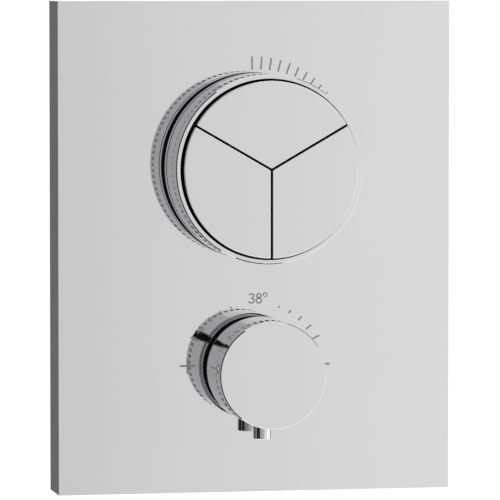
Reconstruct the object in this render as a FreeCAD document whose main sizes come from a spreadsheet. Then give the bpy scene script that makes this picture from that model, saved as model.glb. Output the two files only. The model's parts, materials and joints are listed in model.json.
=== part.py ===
import FreeCAD, Part
import math
import os
import Sketcher

# Concealed thermostatic shower valve with three push buttons, in millimetres.
# +X is to the right, +Z is up and +Y goes into the wall. The tiles' surface is the plane Y = 0, and the
# origin lies on it, behind the middle of the trim plate. Everything in front of the tiles has a negative Y.

Vector = FreeCAD.Vector
doc = FreeCAD.newDocument("ShowerValve")
sheet = doc.addObject("Spreadsheet::Sheet", "Sizes")


# ---------------------------------------------------------------------------------------- named sizes


class Size:
    """A length that carries its number and the words of the sheet that give it."""

    def __init__(self, number, words):
        self.number = float(number)
        self.words = words

    def __add__(self, other):
        other = as_size(other)
        return Size(self.number + other.number, f"({self.words} + {other.words})")

    def __radd__(self, other):
        return as_size(other) + self

    def __sub__(self, other):
        other = as_size(other)
        return Size(self.number - other.number, f"({self.words} - {other.words})")

    def __rsub__(self, other):
        return as_size(other) - self

    def __mul__(self, factor):
        factor = as_size(factor)
        return Size(self.number * factor.number, f"({self.words} * {factor.words})")

    def __rmul__(self, factor):
        return self * factor

    def __truediv__(self, factor):
        factor = as_size(factor)
        return Size(self.number / factor.number, f"({self.words} / {factor.words})")

    def __neg__(self):
        return Size(-self.number, f"(-1 * {self.words})")


def as_size(value):
    if isinstance(value, Size):
        return value
    return Size(value, f"({value:.9f})")


row = 0


def named(alias, value, meaning):
    """Writes one driving size into the sheet, as plain text with an alias."""
    global row
    row += 1
    sheet.set(f"A{row}", meaning)
    sheet.set(f"B{row}", repr(value))
    sheet.setAlias(f"B{row}", alias)
    return Size(value, f"Sizes.{alias}")


# Clearances that tie neighbours together.
seat_gap = named("seat_gap", 0.1, "between two faces that are screwed or pushed together")
loose_gap = named("loose_gap", 0.3, "between pieces that pass each other without touching")
running_gap = named("running_gap", 0.06, "radial clearance of a shaft in its bearing")

# Trim plate.
plate_width = named("plate_width", 170.0, "trim plate, left to right")
plate_height = named("plate_height", 210.0, "trim plate, bottom to top")
plate_depth = named("plate_depth", 24.0, "trim plate, tiles to front face")
plate_face = named("plate_face", 3.0, "front wall of the trim plate")
plate_wall = named("plate_wall", 2.5, "side wall of the trim plate")

# Axes of the controls.
upper_axis = named("upper_axis", 34.5, "height of the push-button knob's axis")
lower_axis = named("lower_axis", -51.8, "height of the temperature knob's axis")

# Push-button knob.
ring_radius = named("ring_radius", 40.0, "outer radius of the flow ring")
ring_wall = named("ring_wall", 1.8, "wall of the flow ring at its front edge")
ring_reach = named("ring_reach", 32.0, "plate face to the front of the flow ring")
button_reach = named("button_reach", 36.5, "plate face to the front of the buttons")
upper_shadow = named("upper_shadow", 3.9, "shadow gap between the plate and the upper collar")
upper_seam = named("upper_seam", 8.8, "plate face to the seam between upper collar and flow ring")
collar_wall = named("collar_wall", 2.0, "wall of the collars' tubes")
upper_recess = named("upper_recess", 5.0, "how deep the shadow gap reaches in under the upper collar")
upper_bore = ring_radius - upper_recess - collar_wall
button_gap = named("button_gap", 1.3, "between the flow ring and the buttons")
button_radius = ring_radius - ring_wall - button_gap
segment_gap = named("segment_gap", 0.9, "width of the Y-shaped gap between two buttons")
button_plate = named("button_plate", 3.0, "front wall of a button")
button_wall = named("button_wall", 1.8, "skirt wall of a button")
button_skirt = named("button_skirt", 10.5, "front face of a button to the end of its skirt")
button_round = named("button_round", 0.8, "rounding of a button's front edges")
button_travel = named("button_travel", 4.0, "travel of a button")
rod_circle = named("rod_circle", 13.5, "upper axis to a push rod's axis")
rod_radius = named("rod_radius", 2.2, "radius of a push rod")
guide_pin_inset = named("guide_pin_inset", 8.9, "edge of a button to its guide pin's axis")
guide_pin_circle = button_radius - guide_pin_inset
guide_pin_radius = named("guide_pin_radius", 2.0, "radius of a button's guide pin")
guide_edge = named("guide_edge", 3.2, "edge of the button guide to the wall of the flow ring")
guide_radius = ring_radius - ring_wall - guide_edge
guide_plate = named("guide_plate", 3.5, "thickness of the button guide")
guide_space = named("guide_space", 15.0, "front of the buttons to the front of the button guide")
guide_sink = named("guide_sink", 1.8, "front of the button guide to the seats of its screws")
tower_radius = named("tower_radius", 20.5, "outer radius of the button tower's tube")
tower_bore = named("tower_bore", 18.0, "inner radius of the button tower's tube")
bush_wall = named("bush_wall", 1.4, "wall of the flow ring's bearing bush")
sleeve_wall = named("sleeve_wall", 2.0, "wall of the ring gear's sleeve")
flange_plate = named("flange_plate", 3.0, "thickness of the ring gear's front flange")
ring_step = named("ring_step", 2.5, "thickness of the flow ring's inner step")

# Gear between the flow ring and the flow spindle.
tooth_module = named("tooth_module", 1.0, "pitch diameter over tooth count")
gear_width = named("gear_width", 8.0, "face width of ring gear and pinion")
gear_back = named("gear_back", 6.0, "tiles to the back of the gears")
RING_GEAR_TEETH = 54
PINION_TEETH = 30
SECTOR_TEETH = 12
SECTOR_FIRST_DEG = -102.0
TOOTH_BACKLASH = 0.12
PRESSURE_DEG = 20.0

# Temperature knob.
knob_radius = named("knob_radius", 22.7, "outer radius of the temperature knob")
knob_reach = named("knob_reach", 40.0, "plate face to the front of the temperature knob")
knob_wall = named("knob_wall", 2.4, "side wall of the temperature knob")
knob_face = named("knob_face", 3.0, "front wall of the temperature knob")
lower_shadow = named("lower_shadow", 4.1, "shadow gap between the plate and the lower collar")
lower_seam = named("lower_seam", 9.9, "plate face to the seam between lower collar and knob")
collar_inset = named("collar_inset", 0.8, "how far the lower collar stands inside the knob's edge")
lower_recess = named("lower_recess", 4.9, "how deep the shadow gap reaches in under the lower collar")
lower_bore = knob_radius - collar_inset - lower_recess - collar_wall
safety_radius = named("safety_radius", 4.2, "radius of the safety button")
safety_depth = named("safety_depth", 17.4, "plate face to the axis of the safety button")
safety_reach = named("safety_reach", 28.9, "lower axis to the end of the safety button")
safety_travel = named("safety_travel", 3.0, "travel of the safety button")

# Grip notches round both knobs.
notch_width = named("notch_width", 1.5, "width of a grip notch round the edge")
notch_length = named("notch_length", 6.1, "length of a grip notch along the axis")
notch_depth = named("notch_depth", 0.7, "depth of a grip notch")
notch_setback = named("notch_setback", 4.1, "front edge to the nearest end of a notch")
edge_bevel = named("edge_bevel", 0.4, "bevel on the visible front edges")
RING_NOTCHES = 96
KNOB_NOTCHES = 54

# Mechanism on the lower axis.
spindle_radius = named("spindle_radius", 4.0, "radius of the thermostat and flow spindles")
extension_radius = named("extension_radius", 5.6, "radius of the spindle extension")
stop_tube_bore = named("stop_tube_bore", 6.6, "inner radius of the stop carrier's tube")
stop_tube_radius = named("stop_tube_radius", 8.0, "outer radius of the stop carrier's tube")
stop_ring_radius = named("stop_ring_radius", 10.0, "outer radius of the stop ring")
insert_bore = named("insert_bore", 10.5, "inner radius of the knob insert's outer tube")
insert_tube = named("insert_tube", 12.0, "outer radius of the knob insert's outer tube")
LUG_HALF_DEG = 15.0
TEMPERATURE_HALF_TURN_DEG = 90.0

# Valve body in the wall.
body_back = named("body_back", 46.0, "tiles to the back of the valve body")
manifold_radius = named("manifold_radius", 30.0, "radius of the outlet manifold")
manifold_front = named("manifold_front", 6.0, "tiles to the front of the outlet manifold")
neck_radius = named("neck_radius", 26.5, "outer radius of the neck that the tower screws on")
flow_axis_drop = tooth_module * ((RING_GEAR_TEETH + PINION_TEETH) / 2.0)
flow_axis = upper_axis - flow_axis_drop
chamber_radius = named("chamber_radius", 16.4, "bore of the thermostat chamber")
boss_radius = named("boss_radius", 23.5, "radius of the thermostat chamber's casting")
boss_front = named("boss_front", 5.0, "how far the thermostat chamber reaches out of the tiles")
port_depth = named("port_depth", 27.0, "tiles to the axes of the inlets and outlets")
port_reach = named("port_reach", 50.0, "middle plane to the mouths of the side ports")
port_radius = named("port_radius", 14.0, "outer radius of a port")
port_bore = named("port_bore", 9.3, "bore of a port, for a half-inch pipe thread")
port_thread = named("port_thread", 13.0, "length of a port's threaded bore")
top_port_reach = named("top_port_reach", 80.0, "height of the top outlet's mouth")
lug_reach = named("lug_reach", 42.0, "middle plane to the carrier's screws")
bracket_width = named("bracket_width", 120.0, "fixing bracket, left to right")
bracket_height = named("bracket_height", 56.0, "fixing bracket, bottom to top")
bracket_hole_x = named("bracket_hole_x", 50.0, "middle plane to the bracket's screw holes")
bracket_hole_z = named("bracket_hole_z", 20.0, "bracket's middle to its screw holes")
bracket_middle = named("bracket_middle", -9.5, "height of the bracket's middle")
bracket_plate = named("bracket_plate", 2.0, "thickness of the fixing bracket")
bracket_screw_low = named("bracket_screw_low", 2.8, "thermostat chamber's casting to the lower bracket screw")
bracket_screw_high = named("bracket_screw_high", 14.0, "flow spindle's axis to the upper bracket screw")
BRACKET_SCREWS = (lower_axis + boss_radius + bracket_screw_low, flow_axis + bracket_screw_high)

# Carrier that holds the trim plate on the tiles.
carrier_plate = named("carrier_plate", 3.0, "thickness of the plate carrier")
gasket_width = named("gasket_width", 5.0, "width of the plate gasket")
carrier_hole_x = named("carrier_hole_x", 65.0, "middle plane to the carrier's wall screws")
carrier_hole_z = named("carrier_hole_z", 85.0, "middle to the carrier's wall screws")

# Places worked out from the sizes above.
front_y = -plate_depth
ring_front = front_y - ring_reach
button_front = front_y - button_reach
knob_front = front_y - knob_reach
guide_front = button_front + guide_space
guide_back = guide_front + guide_plate
sleeve_bore = tower_radius + running_gap + bush_wall
sleeve_radius = sleeve_bore + running_gap + sleeve_wall
step_back = guide_back + 4.5
step_front = step_back - ring_step
flange_back = step_back + flange_plate
gear_y = -gear_back
BUTTONS = {"top": 90.0, "left": 210.0, "right": 330.0}
SCREW_ANGLES = (30.0, 150.0, 270.0)


# --------------------------------------------------------------------------------- building functions


def place(item, across=0, depth=0, height=0):
    """Puts an object's own origin at a named place."""
    for axis, value in (("x", across), ("y", depth), ("z", height)):
        if isinstance(value, Size):
            item.setExpression(f"Placement.Base.{axis}", value.words)
        elif value:
            setattr(item.Placement.Base, axis, float(value))


def origin_feature(body, role):
    for feature in body.Origin.OriginFeatures:
        if feature.Role == role:
            return feature
    raise RuntimeError(f"{body.Label} has no {role}")


def new_body(label):
    body = doc.addObject("PartDesign::Body", label)
    body.Label = label
    return body


def new_sketch(body, name, plane, offset=None):
    sketch = body.newObject("Sketcher::SketchObject", name)
    sketch.AttachmentSupport = [(origin_feature(body, plane), "")]
    sketch.MapMode = "FlatFace"
    if offset is not None:
        sketch.setExpression("AttachmentOffset.Base.z", as_size(offset).words)
    return sketch


def draw_outline(sketch, points):
    """Draws a closed outline of straight lines whose corners are bound to the sheet."""
    points = [(as_size(across), as_size(along)) for across, along in points]
    first = sketch.GeometryCount
    count = len(points)
    corners = [Vector(across.number, along.number, 0) for across, along in points]
    lines = [Part.LineSegment(corners[i], corners[(i + 1) % count]) for i in range(count)]
    sketch.addGeometry(lines, False)
    bound = []
    rules = []
    for i in range(count):
        rules.append(Sketcher.Constraint("Coincident", first + i, 2, first + (i + 1) % count, 1))
    for i, (across, along) in enumerate(points):
        for kind, axis, value in (("DistanceX", -2, across), ("DistanceY", -1, along)):
            if abs(value.number) < 1e-9:
                rules.append(Sketcher.Constraint("PointOnObject", first + i, 1, axis))
            else:
                bound.append((sketch.ConstraintCount + len(rules), value.words))
                rules.append(Sketcher.Constraint(kind, -1, 1, first + i, 1, value.number))
    sketch.addConstraint(rules)
    for index, words in bound:
        sketch.setExpression(f"Constraints[{index}]", words)


def draw_circle(sketch, across, along, radius):
    """Draws a circle whose centre and radius are bound to the sheet."""
    across, along, radius = as_size(across), as_size(along), as_size(radius)
    first = sketch.GeometryCount
    middle = Vector(across.number, along.number, 0)
    sketch.addGeometry(Part.Circle(middle, Vector(0, 0, 1), radius.number), False)
    for kind, axis, value in (("DistanceX", -2, across), ("DistanceY", -1, along)):
        if abs(value.number) < 1e-9:
            sketch.addConstraint(Sketcher.Constraint("PointOnObject", first, 3, axis))
        else:
            index = sketch.addConstraint(Sketcher.Constraint(kind, -1, 1, first, 3, value.number))
            sketch.setExpression(f"Constraints[{index}]", value.words)
    index = sketch.addConstraint(Sketcher.Constraint("Radius", first, radius.number))
    sketch.setExpression(f"Constraints[{index}]", radius.words)


def rectangle(left, low, right, high):
    return [(left, low), (right, low), (right, high), (left, high)]


def turn(body, name, points, axis="V_Axis"):
    """Turns a profile on the body's XY plane through a full circle."""
    sketch = new_sketch(body, f"{name}_profile", "XY_Plane")
    draw_outline(sketch, points)
    feature = body.newObject("PartDesign::Revolution", name)
    feature.Profile = sketch
    feature.ReferenceAxis = (sketch, [axis])
    feature.Angle = 360
    return feature


def turned(label, points, height=0, across=0, depth=0):
    """A body of revolution about an axis along Y: the profile's points are (radius, Y)."""
    body = new_body(label)
    turn(body, f"{label}_turned", points)
    place(body, across, depth, height)
    return body


def pad_front(body, name, near, length, draw):
    """Pads a sketch on the XZ plane from Y = near towards the front, by length."""
    sketch = new_sketch(body, f"{name}_sketch", "XZ_Plane", -as_size(near))
    draw(sketch)
    feature = body.newObject("PartDesign::Pad", name)
    feature.Profile = sketch
    feature.setExpression("Length", as_size(length).words)
    return feature


def pocket_back(body, name, front, length, draw):
    """Cuts a sketch on the XZ plane from Y = front towards the wall, by length."""
    sketch = new_sketch(body, f"{name}_sketch", "XZ_Plane", -as_size(front))
    draw(sketch)
    feature = body.newObject("PartDesign::Pocket", name)
    feature.Profile = sketch
    feature.setExpression("Length", as_size(length).words)
    return feature


def pocket_radial(body, name, points, width):
    """Cuts a slot along the radius: its outline is (radius, Y), its width lies across the XY plane."""
    sketch = new_sketch(body, f"{name}_sketch", "XY_Plane")
    draw_outline(sketch, points)
    feature = body.newObject("PartDesign::Pocket", name)
    feature.Profile = sketch
    feature.SideType = "Symmetric"
    feature.setExpression("Length", as_size(width).words)
    return feature


def round_pattern(body, name, original, count, angle=360.0):
    """Repeats a feature round the body's Y axis."""
    feature = body.newObject("PartDesign::PolarPattern", name)
    feature.Originals = [original]
    feature.Axis = (origin_feature(body, "Y_Axis"), [""])
    feature.Angle = angle
    feature.Occurrences = count
    body.Tip = feature
    return feature


AXIS_TURNS = {
    "X": FreeCAD.Rotation(Vector(0, 1, 0), 90),
    "Y": FreeCAD.Rotation(Vector(1, 0, 0), -90),
    "Z": FreeCAD.Rotation(),
}


def cylinder(name, radius, length, start, axis="Y", angle=None, spin=0.0):
    """A cylinder, or a wedge of one, from its start point along a row axis."""
    item = doc.addObject("Part::Cylinder", name)
    item.setExpression("Radius", as_size(radius).words)
    item.setExpression("Height", as_size(length).words)
    if angle is not None:
        item.Angle = angle
    turned_by = AXIS_TURNS[axis].multiply(FreeCAD.Rotation(Vector(0, 0, 1), spin))
    item.Placement = FreeCAD.Placement(Vector(0, 0, 0), turned_by)
    place(item, *start)
    return item


def block(name, low, high):
    """A box between two corners."""
    item = doc.addObject("Part::Box", name)
    low = [as_size(value) for value in low]
    high = [as_size(value) for value in high]
    for prop, a, b in zip(("Length", "Width", "Height"), low, high):
        item.setExpression(prop, (b - a).words)
    place(item, *low)
    return item


def fuse(name, pieces):
    item = doc.addObject("Part::MultiFuse", name)
    item.Shapes = pieces
    return item


def common(name, pieces):
    item = doc.addObject("Part::MultiCommon", name)
    item.Shapes = pieces
    return item


def cut(name, base, tool):
    item = doc.addObject("Part::Cut", name)
    item.Base = base
    item.Tool = tool
    return item


def group(label, pieces):
    """Puts identical solids side by side under one name."""
    item = doc.addObject("Part::Compound", label)
    item.Links = pieces
    return item


def round_points(circle, angles_deg, height):
    """Places on a circle about an axis along Y, as (X, Z)."""
    return [
        (circle * math.cos(math.radians(angle)), height + circle * math.sin(math.radians(angle)))
        for angle in angles_deg
    ]


def tube_profile(bore, radius, back, front):
    return rectangle(bore, front, radius, back)


parts = []


def keep(item):
    """Marks an object as a sub-part: its label names its file."""
    parts.append(item)
    return item


# ---------------------------------------------------------------------------------------- trim plate


def make_trim_plate():
    """A box open towards the wall, with two round holes for the collars."""
    body = new_body("trim_plate")
    half_x = plate_width / 2
    half_z = plate_height / 2
    pad_front(body, "plate_block", 0, plate_depth,
              lambda s: draw_outline(s, rectangle(-half_x, -half_z, half_x, half_z)))
    inner_x = half_x - plate_wall
    inner_z = half_z - plate_wall
    pocket_back(body, "plate_hollow", front_y + plate_face, plate_depth,
                lambda s: draw_outline(s, rectangle(-inner_x, -inner_z, inner_x, inner_z)))
    hole_depth = plate_face + 1
    pocket_back(body, "plate_upper_hole", front_y - 0.5, hole_depth,
                lambda s: draw_circle(s, 0, upper_axis, upper_bore + collar_wall + loose_gap))
    pocket_back(body, "plate_lower_hole", front_y - 0.5, hole_depth,
                lambda s: draw_circle(s, 0, lower_axis, lower_bore + collar_wall + loose_gap))
    keep(body)


def make_plate_gasket():
    """A rubber frame just inside the plate's rim, pressed on the tiles."""
    body = new_body("plate_gasket")
    outer_x = plate_width / 2 - plate_wall - loose_gap
    outer_z = plate_height / 2 - plate_wall - loose_gap
    inner_x = outer_x - gasket_width
    inner_z = outer_z - gasket_width

    def frame(sketch):
        draw_outline(sketch, rectangle(-outer_x, -outer_z, outer_x, outer_z))
        draw_outline(sketch, rectangle(-inner_x, -inner_z, inner_x, inner_z))

    pad_front(body, "gasket_frame", 0, carrier_plate, frame)
    keep(body)


def make_plate_carrier():
    """A moulded plate on the tiles with openings for the controls and posts for the spring clips."""
    body = new_body("plate_carrier")
    half_x = plate_width / 2 - plate_wall - gasket_width - loose_gap * 2
    half_z = plate_height / 2 - plate_wall - gasket_width - loose_gap * 2
    pad_front(body, "carrier_base", 0, carrier_plate,
              lambda s: draw_outline(s, rectangle(-half_x, -half_z, half_x, half_z)))
    rib = 2.0
    rib_height = 5.0

    def rib_frame(sketch):
        draw_outline(sketch, rectangle(-half_x, -half_z, half_x, half_z))
        draw_outline(sketch, rectangle(rib - half_x, rib - half_z, half_x - rib, half_z - rib))

    pad_front(body, "carrier_rib", -carrier_plate, rib_height, rib_frame)
    for side in (-1, 1):
        for level in (-1, 1):
            post_x = (half_x - 3) * side
            post_z = half_z * (0.62 * level)
            pad_front(body, f"carrier_post_{side + 1}{level + 1}", -carrier_plate, 13,
                      lambda s: draw_outline(s, rectangle(post_x - 3, post_z - 6, post_x + 3, post_z + 6)))
    reach = carrier_plate + 1
    pocket_back(body, "carrier_upper_opening", -reach, reach + 1,
                lambda s: draw_circle(s, 0, upper_axis, neck_radius + 7.5))
    pocket_back(body, "carrier_flow_opening", -reach, reach + 1,
                lambda s: draw_circle(s, 0, flow_axis, 15))
    pocket_back(body, "carrier_lower_opening", -reach, reach + 1,
                lambda s: draw_circle(s, 0, lower_axis, boss_radius + 1))
    for across, height in carrier_screw_places() + wall_screw_places():
        pocket_back(body, f"carrier_hole_{len(body.Group)}", -reach, reach + 1,
                    lambda s: draw_circle(s, across, height, 2.25))
    keep(body)


def side_port_height():
    """The two side outlets leave level with the lower two push cartridges."""
    return upper_axis - rod_circle / 2


def carrier_screw_places():
    return [(lug_reach * side, height) for height in (side_port_height(), lower_axis) for side in (-1, 1)]


def wall_screw_places():
    return [(carrier_hole_x * side, carrier_hole_z * level) for level in (-1, 1) for side in (-1, 1)]


def make_plate_clips():
    """Bent spring strips on the carrier's posts that grip the plate's side walls."""
    strip = 0.6
    width = 8.0
    wall_x = plate_width / 2 - plate_wall
    post_x = plate_width / 2 - plate_wall - gasket_width - loose_gap * 2
    half_z = plate_height / 2 - plate_wall - gasket_width - loose_gap * 2
    foot = post_x + seat_gap
    crest = wall_x - loose_gap
    clips = []
    for side in (-1, 1):
        for level in (-1, 1):
            body = new_body(f"clip_{side + 1}{level + 1}")
            outline = [
                (foot, -9), (foot, -16), (foot + strip, -16.5), (crest, -12.5), (crest - 1.6, -9.5),
                (crest - 2.3, -9.5), (crest - 0.9, -12.5), (foot + strip, -15.4), (foot + strip, -9),
            ]
            sketch = new_sketch(body, f"clip_profile_{side + 1}{level + 1}", "XY_Plane")
            draw_outline(sketch, [(across * side, along) for across, along in outline])
            pad = body.newObject("PartDesign::Pad", f"clip_pad_{side + 1}{level + 1}")
            pad.Profile = sketch
            pad.SideType = "Symmetric"
            pad.Length = width
            place(body, height=half_z * (0.62 * level))
            clips.append(body)
    keep(group("plate_clips", clips))


def screw(name, head_radius, head_length, shank_radius, shank_length, across, head_back, height):
    """A cap screw along Y: its head reaches forward from head_back, its shank goes into the wall."""
    body = new_body(name)
    head = as_size(head_length)
    shank_radius = as_size(shank_radius)
    head_radius = as_size(head_radius)
    turn(body, f"{name}_turned", [
        (0, head * -0.5), (head_radius * 0.45, head * -0.5), (head_radius * 0.45, -head),
        (head_radius, -head), (head_radius, 0),
        (shank_radius, 0), (shank_radius, shank_length), (0, shank_length),
    ])
    place(body, across, head_back, height)
    return body


def make_carrier_screws():
    head_back = -carrier_plate - seat_gap
    screws = []
    for i, (across, height) in enumerate(carrier_screw_places()):
        screws.append(screw(f"carrier_screw_{i}", 3.6, 2.6, 1.95, 11, across, head_back, height))
    keep(group("carrier_screws", screws))


# ------------------------------------------------------------------------------------------- collars


def make_collar(name, height, bore, radius, shadow, seam, tube_back):
    """A fixed collar: a lip in front of the shadow gap, a neck on the plate and a tube through it."""
    tube = bore + collar_wall
    neck = tube + 1.6
    keep(turned(name, [
        (bore, tube_back), (bore, front_y - seam), (radius - edge_bevel, front_y - seam),
        (radius, front_y - seam + edge_bevel), (radius, front_y - shadow), (neck, front_y - shadow),
        (neck, front_y - seat_gap - 0.8), (tube, front_y - seat_gap - 0.8), (tube, tube_back),
    ], height))


def make_collar_seal(name, height, bore):
    tube = bore + collar_wall
    keep(turned(name, [
        (tube + 0.1, front_y - 0.8), (tube + 1.5, front_y - 0.8), (tube + 1.5, front_y - seat_gap),
        (tube + 0.1, front_y - seat_gap),
    ], height))


def make_collar_nut(name, height, bore):
    """A ring nut behind the plate, with four slots for a pin spanner."""
    tube = bore + collar_wall
    back = front_y + plate_face + seat_gap + 3.4
    front = front_y + plate_face + seat_gap
    body = turned(name, tube_profile(tube + running_gap, tube + 4, back, front), height)
    slot = pocket_radial(body, f"{name}_slot", rectangle(tube + 2.4, front + 1.4, tube + 5, back + 1), 4)
    round_pattern(body, f"{name}_slots", slot, 4)
    keep(body)


# ------------------------------------------------------------------------------ flow ring and its gear


def notch_ring(body, name, radius, front, count):
    """Cuts the row of grip notches round a knob's edge."""
    near = front + notch_setback
    notch = pocket_radial(body, f"{name}_notch",
                          rectangle(radius - notch_depth, near, radius + 1, near + notch_length), notch_width)
    round_pattern(body, f"{name}_notches", notch, count)


def ring_screw_places():
    return round_points(button_radius - 3, SCREW_ANGLES, upper_axis)


def screw_holes(body, name, front, depth):
    """Three holes that line up flow ring and ring gear."""
    (across, height) = round_points(button_radius - 3, SCREW_ANGLES[:1], as_size(0))[0]
    hole = pocket_back(body, f"{name}_hole", front, depth, lambda s: draw_circle(s, across, height, 1.35))
    round_pattern(body, f"{name}_holes", hole, len(SCREW_ANGLES))


def make_flow_ring():
    """The notched chrome ring: a thin front rim and an inner step that carries the gear's flange."""
    inner = ring_radius - ring_wall
    step = guide_radius - 4
    back = front_y - upper_seam - loose_gap
    body = turned("flow_ring", [
        (inner, ring_front), (ring_radius - edge_bevel, ring_front), (ring_radius, ring_front + edge_bevel),
        (ring_radius, back), (inner, back), (inner, step_back), (step, step_back), (step, step_front),
        (inner, step_front),
    ], upper_axis)
    notch_ring(body, "flow_ring", ring_radius, ring_front, RING_NOTCHES)
    screw_holes(body, "ring_screw", step_front - 1, ring_step + 2)
    keep(body)


def involute(angle):
    return math.tan(angle) - angle


def tooth_outline(teeth, inner, centre_deg):
    """One tooth as a polygon: each flank has three points on the involute, in multiples of the module."""
    pitch = teeth / 2.0
    base = pitch * math.cos(math.radians(PRESSURE_DEG))
    root = max(pitch - 1.25, base + 0.001)
    half = math.pi / (2 * teeth) - TOOTH_BACKLASH / (2 * pitch)
    left = []
    right = []
    for reach in (root, (root + pitch + 1) / 2, pitch + 1):
        roll = involute(math.radians(PRESSURE_DEG)) - involute(math.acos(base / reach))
        for side, flank in ((1, left), (-1, right)):
            angle = math.radians(centre_deg) + side * (half + roll)
            flank.append((tooth_module * (reach * math.cos(angle)), tooth_module * (reach * math.sin(angle))))
    feet = []
    for side in (-1, 1):
        roll = involute(math.radians(PRESSURE_DEG)) - involute(math.acos(base / root))
        angle = math.radians(centre_deg) + side * (half + roll)
        feet.append((inner * math.cos(angle), inner * math.sin(angle)))
    return [feet[0]] + right + left[::-1] + [feet[1]]


def make_ring_gear():
    """Flange, sleeve and toothed sector in one moulding, which turns on the bearing bush."""
    back = gear_y
    front = step_back + seat_gap
    flange = ring_radius - ring_wall - loose_gap
    body = turned("ring_gear", [
        (sleeve_bore + running_gap, front), (flange, front), (flange, flange_back),
        (sleeve_radius, flange_back), (sleeve_radius, back), (sleeve_bore + running_gap, back),
    ], upper_axis)
    pitch_deg = 360.0 / RING_GEAR_TEETH
    pad = pad_front(body, "sector_tooth", back, gear_width,
                    lambda s: draw_outline(s, tooth_outline(RING_GEAR_TEETH, sleeve_radius - 0.5,
                                                            -90.0 - pitch_deg * 2)))
    pattern = round_pattern(body, "sector_teeth", pad, SECTOR_TEETH, pitch_deg * (SECTOR_TEETH - 1))
    pattern.Reversed = True
    screw_holes(body, "gear_tap", front - 1, flange_plate + 2)
    keep(body)


def make_ring_screws():
    screws = []
    for i, (across, height) in enumerate(ring_screw_places()):
        screws.append(screw(f"ring_screw_{i}", 2.2, 1.3, 1.25, 4.5, across, step_front - seat_gap, height))
    keep(group("ring_screws", screws))


def make_ring_bush():
    """A bearing sleeve with a front lip that keeps the ring gear from coming forward."""
    bore = tower_radius + seat_gap / 2
    lip_back = step_back + seat_gap - running_gap * 3
    keep(turned("ring_bush", [
        (bore, -10), (bore, guide_back + loose_gap), (sleeve_bore + 2.4, guide_back + loose_gap),
        (sleeve_bore + 2.4, lip_back), (sleeve_bore, lip_back), (sleeve_bore, -10),
    ], upper_axis))


# ------------------------------------------------------------------------------ tower, guide, buttons


def make_button_tower():
    """A fixed tube that screws on the valve body's neck and carries the button guide."""
    bell_front = gear_y + loose_gap
    bell_bore = neck_radius + loose_gap
    tube = turned("tower_turned", [
        (tower_bore, guide_back), (tower_radius, guide_back), (tower_radius, bell_front),
        (bell_bore + 2.3, bell_front), (bell_bore + 2.3, manifold_front - seat_gap),
        (bell_bore, manifold_front - seat_gap), (bell_bore, bell_front + 2.7), (tower_bore, bell_front + 2.7),
    ], upper_axis)
    posts = []
    holes = []
    for i, (across, height) in enumerate(round_points(tower_bore - 1.6, SCREW_ANGLES, upper_axis)):
        posts.append(cylinder(f"tower_post_{i}", 2.9, 14, (across, guide_back, height)))
        holes.append(cylinder(f"tower_hole_{i}", 1.35, 10, (across, guide_back - 0.5, height)))
    solid = fuse("tower_solid", [tube] + posts)
    keep(cut("button_tower", solid, fuse("tower_holes", holes)))


def make_button_guide():
    """A disc with bores for the push rods and the buttons' guide pins, and sunk seats for its screws."""
    disc = cylinder("guide_disc", guide_radius, guide_plate, (0, guide_front, upper_axis))
    angles = list(BUTTONS.values())
    start = guide_front - 1
    through = guide_plate + 2
    holes = []
    for i, (across, height) in enumerate(round_points(rod_circle, angles, upper_axis)):
        holes.append(cylinder(f"guide_rod_bore_{i}", rod_radius + running_gap, through,
                              (across, start, height)))
    for i, (across, height) in enumerate(round_points(guide_pin_circle, angles, upper_axis)):
        holes.append(cylinder(f"guide_pin_bore_{i}", guide_pin_radius + running_gap, through,
                              (across, start, height)))
    for i, (across, height) in enumerate(round_points(tower_bore - 1.6, SCREW_ANGLES, upper_axis)):
        holes.append(cylinder(f"guide_screw_hole_{i}", 1.4, through, (across, start, height)))
        holes.append(cylinder(f"guide_screw_sink_{i}", 2.7, guide_sink + 1, (across, start, height)))
    keep(cut("button_guide", disc, fuse("guide_holes", holes)))


def make_guide_screws():
    screws = []
    for i, (across, height) in enumerate(round_points(tower_bore - 1.6, SCREW_ANGLES, upper_axis)):
        screws.append(screw(f"guide_screw_{i}", 2.4, 1.6, 1.25, 10, across,
                            guide_front + guide_sink - seat_gap, height))
    keep(group("guide_screws", screws))


def button_wedge(name, radius, shift, front, length):
    """The upper third of a disc, moved up so that its straight edges lie off the radii."""
    wedge = cylinder(f"{name}_wedge", radius * 1.4, length, (0, front, shift / math.sin(math.radians(60))),
                     angle=120.0, spin=-150.0)
    disc = cylinder(f"{name}_disc", radius, length, (0, front, 0), spin=90.0)
    return common(name, [wedge, disc])


def rounded_front(label, solid, front, radius):
    """Rounds every edge that lies in the plane Y = front."""
    doc.recompute()
    edges = [
        (i, radius.number, radius.number) for i, edge in enumerate(solid.Shape.Edges, 1)
        if all(abs(vertex.Point.y - front.number) < 1e-6 for vertex in edge.Vertexes)
    ]
    item = doc.addObject("Part::Fillet", label)
    item.Base = solid
    item.Edges = edges
    return item


def make_button_pattern():
    """A push-button segment about its own axis: a third of the face, a skirt, a rod boss and a guide pin."""
    outer = button_wedge("segment_outer", button_radius, segment_gap / 2, button_front, button_skirt)
    hollow = button_wedge("segment_hollow", button_radius - button_wall, segment_gap / 2 + button_wall,
                          button_front + button_plate, button_skirt)
    shell = cut("segment_shell", outer, hollow)
    under = button_front + button_plate - 0.5
    boss = cylinder("segment_boss", rod_radius + 2, button_skirt - button_plate + 0.5, (0, under, rod_circle))
    pin = cylinder("segment_pin", guide_pin_radius, guide_back - 1.5 - under, (0, under, guide_pin_circle))
    solid = fuse("segment_solid", [shell, boss, pin])
    socket = cylinder("segment_socket", rod_radius + running_gap, button_skirt,
                      (0, button_front + button_plate + 0.4, rod_circle))
    return rounded_front("segment", cut("segment_hollowed", solid, socket), button_front, button_round)


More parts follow.
